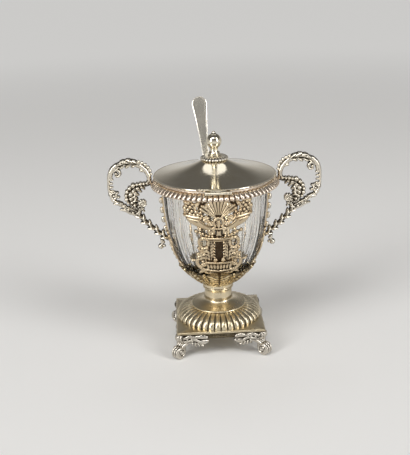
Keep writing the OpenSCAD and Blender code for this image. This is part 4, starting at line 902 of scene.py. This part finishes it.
husks = beads("strap_husks", husk_lines, HUSK_PITCH, HUSK_R, HUSK_HALF, cast_silver)
fitted(husks, "stand", "cast_silver")
low_beads = beads("strap_beads", low_lines, BEAD_PITCH, BEAD_R, BEAD_R, cast_silver)
fitted(low_beads, "stand", "cast_silver")

# The rim is a turned ring that sits on the basket, with an upright collar for the lid, and a cast border
# of gadroons soldered round it. Its hollows are painted a rosy brown, partly as patina, partly as shade.
RIM_R, RIM_TOP = box_mm("rim_ring")[1, 0], RIM_LOW + 3.8
COLLAR_IN, COLLAR_OUT, COLLAR_TOP = 31.4, 32.4, box_mm("rim_ring")[1, 2]
BORDER_R, BORDER_LOBES, BORDER_DEPTH = 36.0, 76, 0.9
rim_silver = silver("rim_silver", (0.88, 0.78, 0.66, 1), (0.66, 0.49, 0.35, 1), (0.10, 0.06, 0.038, 1),
                    0.6, 0.24, 0.25)
rim_line = [(29.6, RIM_LOW), (RIM_R - 0.3, RIM_LOW), (RIM_R, RIM_LOW + 0.3), (RIM_R, RIM_TOP - 0.2)]
rim_line += [(RIM_R - 0.2, RIM_TOP), (COLLAR_OUT + 0.05, RIM_TOP), (COLLAR_OUT, RIM_TOP + 0.1)]
rim_line += [(COLLAR_OUT, COLLAR_TOP - 0.2), (COLLAR_OUT - 0.2, COLLAR_TOP), (COLLAR_IN + 0.2, COLLAR_TOP)]
rim_line += [(COLLAR_IN, COLLAR_TOP - 0.2), (COLLAR_IN, RIM_TOP - 0.6), (29.6, RIM_TOP - 0.6)]
rim_points, rim_faces = turned(rim_line, 192)
collar_middle = (COLLAR_IN + COLLAR_OUT) / 2
# Painted a little dark inside the collar as patina, and darker outside it as shade under the lid's edge.
rim_patina_shade = np.where(np.hypot(*rim_points[:, :2].T) > collar_middle, 0.35, 0.1)
fitted(mesh_of("rim_ring_turned", [(rim_points, rim_faces, rim_patina_shade)], rim_silver, 40),
       "stand", "spun_silver", "rim_ring")
border_side = line_through([(32.5, 98.75), (33.6, 98.35), (34.7, 97.6), (35.6, 96.7), (BORDER_R, 95.9),
                            (35.7, 95.1), (34.9, 94.7)], 4)
border_run = np.linspace(0, 1, len(border_side))
border_swell = np.interp(border_run, [0, 0.15, 0.5, 0.75, 0.9, 1], [0.3, 0.6, 0.8, 1.0, 0.8, 0.3])
border_rows = [(r, z, share) for (r, z), share in zip(border_side, border_swell)]
border_rows += [(32.45, RIM_LOW + 0.05, 0), (32.45, RIM_TOP, 0)]
border = lobed("gadroon_border_cast", border_rows, BORDER_LOBES, 14, BORDER_DEPTH, rim_silver, dart=0.25)
fitted(border, "stand", "cast_silver", "gadroon_border")

# The two handles are cast in halves and soldered: a loop with a pearled inner limb, an acanthus leaf on top,
# a smooth scroll with a volute, and a spray of leaves and berries that grows from the rim round a rosette.
PEARL_R, PEARL_LONG, PEARL_PITCH = 1.05, 0.966, 1.95
RIB_R, RIB_LONG, RIB_PITCH = 1.4, 0.72, 2.15


def handle_wax():
    """One half of the right handle, drawn from the side with the way out across and the height up."""
    wax = Wax((26.4, 60.2), (57.0, 111.9), 0.125)
    through = line_through
    # the inner limb and the leaf that curls inside it
    limb = [(36.5, 97.2), (36.5, 100), (37.1, 102.2), (38.1, 104.0), (39.7, 105.7), (41.5, 106.9),
            (44, 108.0)]
    wax.roll(through(limb), [1.3, 1.3, 1.3, 1.3, 1.4, 1.5], [1.5, 1.6, 1.7])
    wax.roll(through([(37.2, 101.2), (37.8, 102.6), (38.8, 103.6), (40.3, 104.2)]),
             [0.6, 0.75, 0.8, 0.9], [1.0, 1.4])
    wax.dots([(40.5, 104.4, 1.15)], 1.7)
    # the leaf over the top: three reeds with full lobes that sweep outwards
    crown = [(41.4, 107.6), (45.2, 108.9), (49.4, 108.8), (53.0, 107.4), (56.2, 105.0)]
    wax.roll(through(crown), [1.4, 2.0, 2.1, 1.7, 1.2], [1.5, 1.8, 1.8, 1.5], 0.0, 3)
    for root, tip, wide in (((42.6, 108.6), (45.0, 110.0), 1.0), ((45.4, 109.4), (48.2, 110.6), 1.15),
                            ((48.8, 109.5), (51.6, 109.6), 1.15), ((51.8, 108.4), (54.2, 107.6), 1.0),
                            ((43.8, 107.4), (45.6, 106.4), 0.95), ((47.0, 107.4), (48.8, 106.2), 1.0),
                            ((50.2, 107.0), (52.0, 106.0), 0.95)):
        wax.roll(through([root, np.add(root, tip) / 2 + (0.1, 0.15), tip]), [0.6 * wide, wide, 0.65 * wide],
                 [1.8, 2.3, 1.6], 0.2)
    # the smooth scroll down the outside, the strand beside it that rolls into a volute, and its eye
    outside = [(51.6, 108.6), (54.6, 107.3), (57.0, 104.9), (58.4, 101.5), (59.0, 98), (59.1, 94.6),
               (58.6, 91.6)]
    wax.roll(through(outside), [1.0, 1.3, 1.3, 1.15, 0.75, 0.7, 1.0], [1.7, 1.8, 1.7, 1.4, 1.0, 1.2])
    hook = [(57.6, 99.8), (57.1, 102.8), (55.9, 104.6), (54.2, 105.1), (52.7, 104.2), (52.4, 102.6),
            (53.4, 101.4), (54.8, 101.5)]
    wax.roll(through(hook), [0.8, 0.9, 0.85, 0.85, 0.85, 0.8, 0.75, 0.6], [1.4, 1.6, 1.6, 1.6, 1.5, 1.4])
    wax.dots([(54.6, 102.9, 1.0)], 1.8)
    # the curled leaf where the scroll meets the lower branch, and its tip
    wax.coil(56.4, 90.2, 2.1, 130, -1.4, [0.85, 0.8, 0.6], [1.9, 1.7, 1.4], 0.2)
    wax.roll(through([(57.6, 92.0), (58.7, 91.4), (59.1, 90.6)]), [0.8, 0.75, 0.5], [1.7, 1.5, 1.0])
    wax.roll(through([(58.0, 89.8), (57.4, 88.0), (55.8, 86.8)]), [1.0, 1.1, 1.1], [1.8, 2.0])
    wax.dots([(54.6, 92.0, 0.9), (54.0, 89.4, 0.9)], 1.6)
    # the lower branch with its leaf and round lobes, and a second leaf whose tip points outwards
    branch = [(57.2, 88.0), (54.4, 85.8), (51.2, 83.8), (47.6, 81.8), (43.6, 79.8)]
    wax.roll(through(branch), [1.0, 1.2, 1.25, 1.2, 1.1], [1.5, 1.7, 1.7, 1.6], 0.0, 2)
    wax.roll(through([(52.4, 85.6), (54.4, 85.9), (56.6, 85.7)]), [0.9, 1.45, 0.7], [2.0, 2.3, 1.4])
    wax.roll(through([(44.4, 78.8), (47.4, 79.7), (50.4, 81.4), (53.2, 82.0)]),
             [0.9, 1.05, 1.05, 0.6], [1.5, 1.7, 1.2])
    wax.dots([(51.0, 84.3, 1.15), (49.0, 81.9, 1.1), (46.4, 80.2, 1.1), (44.0, 79.6, 1.1),
              (48.6, 83.2, 0.8)], 2.1)
    # the husks of the stem, the tail and its ball
    stem = through([(43.8, 79.8), (41.7, 76.6), (39.0, 73.6), (35.8, 70.6), (32.6, 67.8), (29.6, 65.2),
                    (27.5, 63.5)], 7)
    wax.roll(stem, [1.4, 1.25, 1.15, 1.1], [1.2, 1.1, 1.0])
    for k in range(10):
        spot, down = stem[4 * k + 2], stem[4 * k + 4] - stem[4 * k]
        down = down / np.linalg.norm(down)
        aside = np.array((-down[1], down[0])) * (1 if k % 2 else -1)
        husk = [spot + 0.6 * down - 0.3 * aside, spot + 0.8 * aside - 0.9 * down,
                spot + 2.0 * aside - 2.4 * down]
        wax.roll(through(husk), [0.75, 1.1, 0.6], [1.8, 2.4, 1.5])
    wax.roll(through([(29.8, 64.6), (31.2, 62.9), (31.0, 61.0), (31.9, 59.2)]),
             [1.0, 0.9, 0.8, 0.8], [1.2, 1.0, 0.9])
    wax.dots([(31.9, 59.2, 1.6)], 1.6)
    wax.dots([(30.0, 59.4, 0.85), (30.4, 61.6, 0.9)], 1.1)
    # the spray: a reeded stem, leaves on its inner side, and berries of uneven size along its back
    spray = [(36.3, 96.6), (39.2, 96.0), (42.6, 95.0), (45.6, 93.5), (47.6, 91.2), (48.0, 88.8), (47.0, 86.0),
             (45.0, 83.2), (43.2, 80.4)]
    wax.roll(through(spray), [1.2, 1.5, 1.9, 2.2, 2.3, 2.2, 1.9, 1.6, 1.4],
             [1.2, 1.5, 1.7, 1.7, 1.7, 1.5, 1.2], 0.0, 3)
    for root, tip, wide in (((41.6, 95.0), (39.4, 93.5), 0.95), ((44.4, 93.8), (41.4, 92.0), 1.15),
                            ((46.2, 91.6), (43.0, 90.2), 1.2), ((46.6, 89.2), (43.6, 88.2), 1.1),
                            ((46.4, 86.6), (43.4, 86.6), 0.9)):
        wax.roll(through([root, np.add(root, tip) / 2 + (0, 0.5), tip]), [0.6, wide, 0.55 * wide],
                 [1.7, 2.0, 1.2], 0.1)
    back_berries = [(37.7, 97.0, 1.0), (39.6, 96.7, 0.95), (41.5, 96.6, 1.1), (43.4, 96.3, 0.95),
                    (45.6, 95.8, 1.4), (47.7, 94.3, 1.2), (49.2, 92.4, 1.15), (49.8, 90.2, 1.05),
                    (49.6, 88.0, 1.2), (48.8, 86.0, 0.9)]
    wax.dots(back_berries, 1.5, 0.9)
    stem_berries = [(40.9, 94.9, 0.85), (43.2, 94.2, 1.05), (45.6, 92.7, 1.1), (47.3, 90.8, 1.25),
                    (47.2, 88.3, 1.05), (46.8, 86.2, 0.95), (45.2, 84.6, 0.95), (44.6, 90.6, 0.85),
                    (44.8, 88.2, 0.8)]
    wax.dots(stem_berries, 1.3, 1.3)
    # the rosette and the leaf behind it
    wax.roll(through([(46.4, 85.2), (44.2, 84.6), (42.0, 84.8)]), [1.2, 1.3, 0.9], 1.3)
    wax.leaf(through([(46.6, 83.4), (44.6, 83.6), (42.6, 83.2), (41.2, 81.8)]), [0.8, 1.4, 1.3, 0.6],
             [1.4, 1.6, 1.1], 3, 0.3, 0.3)
    wax.flower(41.0, 85.2, 2.5, 8, 1.1, 0.6)
    wax.coil(41.0, 85.2, 1.9, 140, 1.6, [0.55, 0.5, 0.35], [1.0, 1.1, 0.9], 1.0)
    wax.roll(through([(41.6, 83.2), (42.2, 81.4), (42.8, 79.6)]), [0.8, 0.9, 1.1], 1.3)
    wax.dots([(40.6, 82.2, 0.7), (40.4, 80.6, 0.65)], 1.3)
    wax.roll([(42.0, 82.4), (40.4, 80.6)], [0.6, 0.5], 0.9)
    return wax


handle_points, handle_faces, handle_depth = handle_wax().cast(
    lambda x, z, h: np.stack([x, -h, z], 1), lambda x, z, h: np.stack([x, h, z], 1), 0.3)
pearl_line = line_through([
    (35.55, 101.9), (35.8, 103.7), (36.6, 105.4), (37.9, 107.0), (39.8, 108.3), (41.9, 109.2)])
rib_line = line_through([(57.5, 99.6), (57.8, 97.6), (57.8, 95.4), (57.4, 93.0)])
handle_rows = {
    "handle_pearls": (pearl_line, PEARL_PITCH, PEARL_R, PEARL_LONG),
    "handle_ribs": (rib_line, RIB_PITCH, RIB_R, RIB_LONG)}
for name, side in (("right_handle", 1), ("left_handle", -1)):
    points = handle_points * (side, 1, 1)
    handle = mesh_of(f"{name}_cast", [(points, handle_faces, handle_depth)], cast_silver, 75)
    fitted(handle, "stand", "cast_silver", name)
for name, (line, pitch, r, long) in handle_rows.items():
    lines = [np.stack([side * line[:, 0], 0 * line[:, 0], line[:, 1]], 1) for side in (1, -1)]
    fitted(beads(name, lines, pitch, r, long, cast_silver), "stand", "cast_silver")

# The lid is spun from sheet, nearly flat at its beaded edge and steeper towards the finial, kept bright by
# rubbing and notched at the back for the spoon. A ring under it centres it in the collar, and a hinge of
# five knuckles holds it in front.
LID_LOW, LID_TOP = box_mm("lid")[:, 2]
LID_R, LID_WALL = box_mm("lid")[1, 0], 0.8
NOTCH_HALF, NOTCH_MOUTH, NOTCH_REACH, NOTCH_TURN = 4.0, 5.0, 24.0, 6.0
polished_silver = silver("polished_silver", (0.80, 0.74, 0.61, 1), (0.64, 0.56, 0.41, 1),
                         (0.08, 0.06, 0.045, 1), 0.6, 0.06, 0.08)


def finished(names, finish):
    """Gives a finish to nodes that keep their own solids."""
    for name in names:
        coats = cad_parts[name].data.materials
        coats.clear()
        coats.append(finish)


lid_line = curve([(LID_R, 100.9), (23.19, 102.25), (14.25, 104.9), (7.2, LID_TOP)], 60)
lid_under = [p for p in beside(lid_line, LID_WALL) if p[0] < 31.9]
lid_section = [(32.6, LID_LOW), (33.3, LID_LOW), (33.75, 100.12), (34.12, 100.36), (LID_R, 100.62)]
lid_section += [(34.22, 100.82), (34.0, 100.94), (33.7, 100.95), (33.4, 100.88)]
lid_section += [tuple(p) for p in lid_line if p[0] < 33.1]
lid_section += [(1.6, LID_TOP), (1.6, LID_TOP - LID_WALL), (6.4, LID_TOP - LID_WALL)]
lid_section += [tuple(p) for p in lid_under[::-1]]
lid = mesh_of("lid_spun", [(*turned(lid_section, 256), 0.0)], polished_silver, 35)
end = [(NOTCH_HALF * math.cos(a), NOTCH_REACH - NOTCH_HALF * math.sin(a))
       for a in np.linspace(0, math.pi, 25)]
notch_outline = np.array([*end, (-NOTCH_MOUTH, 36.3), (NOTCH_MOUTH, 36.3)])
count = len(notch_outline)
notch_points = np.concatenate([
    np.column_stack([notch_outline, np.full(count, z)]) for z in (LID_LOW - 10, LID_LOW + 20)])
notch_points = notch_points @ np.array(Matrix.Rotation(math.radians(NOTCH_TURN), 3, "Z")).T
notch_faces = [list(range(count)), list(range(count, 2 * count)), *grid_faces(2, count).tolist()]
notch_mesh = bpy.data.meshes.new("notch")
notch_mesh.from_pydata((notch_points * MM).tolist(), [], notch_faces)
turn_out(notch_mesh)
notch = bpy.data.objects.new("notch", notch_mesh)
for made in (notch, lid):
    bpy.context.scene.collection.objects.link(made)
cut = lid.modifiers.new("notch", "BOOLEAN")
cut.object, cut.operation, cut.solver = notch, "DIFFERENCE", "EXACT"
lid_cut = bpy.data.meshes.new_from_object(lid.evaluated_get(bpy.context.evaluated_depsgraph_get()))
lid.modifiers.remove(cut)
bpy.data.objects.remove(notch)
bpy.context.scene.collection.objects.unlink(lid)
lid.data = lid_cut
lid_cut.set_sharp_from_angle(angle=math.radians(35))
fitted(lid, "lid", "polished_silver", "lid")
finished(("lid_bezel", "lid_hinge", "rim_hinge"), polished_silver)

# The finial is a cast lobed collar and a turned knob with a ball and a small tip, held by a stud and a nut
# inside the lid.
FINIAL_LOW, KNOB_LOW = LID_TOP, box_mm("finial_collar")[1, 2]
FINIAL_COLLAR = KNOB_LOW - FINIAL_LOW
BALL_R, BALL_UP = 4.3, 7.75
collar_rows = [
    (3.7 + 4.15 * math.cos(a),
     FINIAL_LOW + FINIAL_COLLAR * (0.36 + (0.415 if a < 0 else 0.64) * math.sin(a)),
     0.1 + 0.9 * max(0.0, math.cos(a)))
    for a in np.radians(np.linspace(-60, 90, 21))]
collar_rows += [(1.7, KNOB_LOW, 0), (1.7, FINIAL_LOW, 0)]
collar = lobed("finial_collar_cast", collar_rows, 24, 12, 0.65, cast_silver)
fitted(collar, "lid", "cast_silver", "finial_collar")
knob_line = [(0.02, -6.4), (1.5, -6.4), (1.5, 0.0), (3.4, 0.0), (3.65, 0.15), (3.7, 0.35), (3.65, 0.65)]
knob_line += [(3.4, 0.85), (2.95, 0.95), (2.9, 1.15), (3.15, 1.25), (3.3, 1.5), (3.15, 1.75), (2.85, 1.85)]
knob_line += [tuple(p) for p in curve([(2.7, 1.95), (2.25, 2.5), (2.2, 3.2), (2.5, 4.2)], 14)]
ball = [(BALL_R * math.cos(a), BALL_UP + BALL_R * math.sin(a)) for a in np.radians(np.linspace(-54, 68, 40))]
knob_line += [*ball, (1.35, 12.05), (1.05, 12.3), (0.85, 12.7), (0.62, 13.1), (0.35, 13.28), (0.02, 13.3)]
knob_points, knob_faces = turned([(r, KNOB_LOW + z) for r, z in knob_line], 96)
knob = mesh_of("finial_knob_turned", [(knob_points, knob_faces, 0.0)], polished_silver, 35)
fitted(knob, "lid", "polished_silver", "finial_knob")

# The spoon is forged from one blank: an oval bowl, a slim stem and a flat handle that widens to a rounded
# end, with a raised thread along its edges. It stands in the glass and leans in the lid's notch.
SPOON_FOOT, SPOON_BACK, SPOON_SIDE = (1.8, 4.4, 43.85), 19.0, 5.1
SPOON_LENGTH, BOWL_LENGTH, BOWL_HALF, BOWL_DEPTH = 99.37, 21.0, 6.6, 3.0
SHANK_HALF, END_HALF, SPOON_THICK, SPOON_STEPS = 1.25, 4.9, 1.2, 25
angles = np.radians(np.linspace(4, 90, 24))
bowl_mid = BOWL_LENGTH / 2
spoon_s = np.concatenate([
    bowl_mid * (1 - np.cos(angles)), bowl_mid * (1 + np.sin(np.radians(np.linspace(5, 88, 22)))),
    np.linspace(BOWL_LENGTH + 0.3, SPOON_LENGTH - END_HALF, 60),
    SPOON_LENGTH - END_HALF * (1 - np.sin(angles[:-1]))])
bowl = np.sqrt(np.clip(1 - ((spoon_s - bowl_mid) / bowl_mid) ** 2, 0, 1)) * (spoon_s < BOWL_LENGTH)
grip = np.clip((spoon_s - BOWL_LENGTH) / (SPOON_LENGTH - BOWL_LENGTH), 0, 1)
past = np.clip((spoon_s - SPOON_LENGTH + END_HALF) / END_HALF, 0, 1)
stem_half = (SHANK_HALF + (END_HALF - SHANK_HALF) * grip**3) * np.sqrt(1 - past**2)
spoon_half = np.where(spoon_s < bowl_mid, BOWL_HALF * bowl, np.maximum(BOWL_HALF * bowl, stem_half))
across = np.concatenate([np.linspace(-1, 1, SPOON_STEPS), np.linspace(1, -1, SPOON_STEPS)])
face = np.repeat([-0.5, 0.5], SPOON_STEPS)
thread = np.where(face < 0, np.exp(-(((np.abs(across) - 0.84) / 0.1) ** 2)), 0)
thin = (1 - 0.5 * across**4) * SPOON_THICK * face
thread_on = np.clip((grip - 0.25) / 0.2, 0, 1)[:, None]
flat = thin * (1 - 0.25 * thread_on * (face < 0) * (np.abs(across) < 0.9)) - 0.2 * thread_on * thread
spoon_points = np.stack([
    spoon_half[:, None] * across, BOWL_DEPTH * bowl[:, None] ** 2 * (1 - across**2) + flat,
    np.repeat(spoon_s[:, None], len(across), 1)], -1).reshape(-1, 3)
lean = Matrix.Rotation(math.radians(-SPOON_SIDE), 3, "Y") @ Matrix.Rotation(math.radians(-SPOON_BACK), 3, "X")
spoon_points = spoon_points @ np.array(lean).T + SPOON_FOOT
rows, columns = len(spoon_s), len(across)
spoon_faces = grid_faces(rows, columns).tolist()
for first in (0, (rows - 1) * columns):
    last = first + columns - 1
    spoon_faces += [[first + k, first + k + 1, last - k - 1, last - k] for k in range(SPOON_STEPS - 1)]
satin_silver = silver("satin_silver", (0.84, 0.80, 0.71, 1), (0.70, 0.64, 0.52, 1), (0.08, 0.06, 0.045, 1),
                      0.4, 0.26, 0.15)
spoon = mesh_of("spoon_forged", [(spoon_points, spoon_faces, 0.0)], satin_silver, 50)
fitted(spoon, "spoon", "polished_silver", "spoon")

# The fittings that hold the pot together: a bolt with its washer and nut under the plinth, the nut under
# the finial and the hinge's pin, all of plain grey metal.
fitting_metal = silver("fitting_metal", (0.52, 0.50, 0.47, 1), (0.40, 0.35, 0.28, 1), (0.05, 0.04, 0.03, 1),
                       0.6, 0.32, 0.3)
finished(("tie_bolt", "tie_washer", "tie_nut", "finial_nut", "hinge_pin"), fitting_metal)

# The studio: a floor of pale paper whose far part glows evenly as the backdrop, in a room that is paler
# near the horizon. Tall soft boxes stand left and right of the camera, a small one is in front above and
# a weak one overhead, and the camera is where the picture was taken from.
FLOOR_COLOUR, FLOOR_FAR = (0.90, 0.89, 0.87, 1), (0.05, 0.05, 0.05, 1)
FLOOR_HALF, NEAR_END, FAR_START, FAR_GLOW = 6.0, 0.3, 1.5, 0.64
ROOM_COLOUR, ROOM_LOW, ROOM_HIGH = (1.0, 0.98, 0.95, 1), 0.6, 0.14
LAMP_AIM = Vector((0, 0, 0.06))
floor_mesh = bpy.data.meshes.new("floor")
floor_corners = [(FLOOR_HALF * x, FLOOR_HALF * y, 0) for x, y in ((-1, -1), (1, -1), (1, 1), (-1, 1))]
floor_mesh.from_pydata(floor_corners, [], [(0, 1, 2, 3)])
floor = bpy.data.objects.new("floor", floor_mesh)
bpy.context.scene.collection.objects.link(floor)
paper = bpy.data.materials.new("paper")
paper.use_nodes = True
paper_tree = paper.node_tree
sheet = paper_tree.nodes["Principled BSDF"]
sheet.inputs["Roughness"].default_value = 0.85
sheet.inputs["Specular IOR Level"].default_value = 0.1
sheet.inputs["Emission Color"].default_value = FLOOR_COLOUR
ray = add(paper_tree, "ShaderNodeLightPath").outputs
mirrored = math_of(paper_tree, "MAXIMUM", ray["Is Glossy Ray"], ray["Is Transmission Ray"])
seen = math_of(paper_tree, "MAXIMUM", ray["Is Camera Ray"], mirrored)
floor_place = add(paper_tree, "ShaderNodeTexCoord").outputs["Object"]
away = add(paper_tree, "ShaderNodeVectorMath", floor_place, operation="LENGTH").outputs["Value"]
far = ease_of(paper_tree, away, NEAR_END, FAR_START)
paper_tree.links.new(blend_of(paper_tree, far, FLOOR_COLOUR, FLOOR_FAR), sheet.inputs["Base Color"])
backdrop = math_of(paper_tree, "MULTIPLY", math_of(paper_tree, "MULTIPLY", far, seen), FAR_GLOW)
paper_tree.links.new(backdrop, sheet.inputs["Emission Strength"])
floor_mesh.materials.append(paper)
room = bpy.data.worlds.new("room")
room.use_nodes = True
room_tree = room.node_tree
around = room_tree.nodes["Background"]
around.inputs["Color"].default_value = ROOM_COLOUR
direction = add(room_tree, "ShaderNodeTexCoord").outputs["Generated"]
rise = add(room_tree, "ShaderNodeSeparateXYZ", direction).outputs[2]
room_tree.links.new(ease_of(room_tree, rise, 0.02, 0.5, ROOM_LOW, ROOM_HIGH), around.inputs["Strength"])
bpy.context.scene.world = room
for name, place, size, power in (
        ("soft_box_front", (-0.25, -1.1, 1.7), (0.9, 0.6), 9.0),
        ("soft_box_left", (-1.45, -1.25, 1.0), (0.65, 2.0), 25.0),
        ("soft_box_right", (1.5, -1.1, 1.0), (0.6, 2.0), 20.5),
        ("soft_box_over", (0.03, 0.82, 1.46), (1.0, 0.42), 1.6)):
    lamp = bpy.data.lights.new(name, "AREA")
    lamp.shape, lamp.size, lamp.size_y, lamp.energy = "RECTANGLE", *size, power
    box = bpy.data.objects.new(name, lamp)
    box.location = place
    box.rotation_euler = (LAMP_AIM - Vector(place)).to_track_quat("-Z", "Y").to_euler()
    bpy.context.scene.collection.objects.link(box)

EYE, AIM = Vector((-0.01897, -0.43503, 0.21868)), Vector((0, 0, 0.06886))
FOCAL_PX, LONG_SIDE_PX, MIDDLE_PX, ROLL = 809.26, 455, 11.31, -0.0297
view = bpy.data.cameras.new("view")
view.sensor_width = 36.0
view.lens = FOCAL_PX / LONG_SIDE_PX * view.sensor_width
view.shift_x = -MIDDLE_PX / LONG_SIDE_PX
view.clip_start, view.clip_end = 0.01, 30.0
ahead = (AIM - EYE).normalized()
right = ahead.cross(Vector((0, 0, 1))).normalized()
up = right.cross(ahead)
rolled = math.cos(ROLL) * right + math.sin(ROLL) * up, math.cos(ROLL) * up - math.sin(ROLL) * right
camera = bpy.data.objects.new("view", view)
camera.matrix_world = Matrix.Translation(EYE) @ Matrix((rolled[0], rolled[1], -ahead)).transposed().to_4x4()
bpy.context.scene.collection.objects.link(camera)
bpy.context.scene.camera = camera
bpy.context.scene.view_settings.view_transform = "Standard"
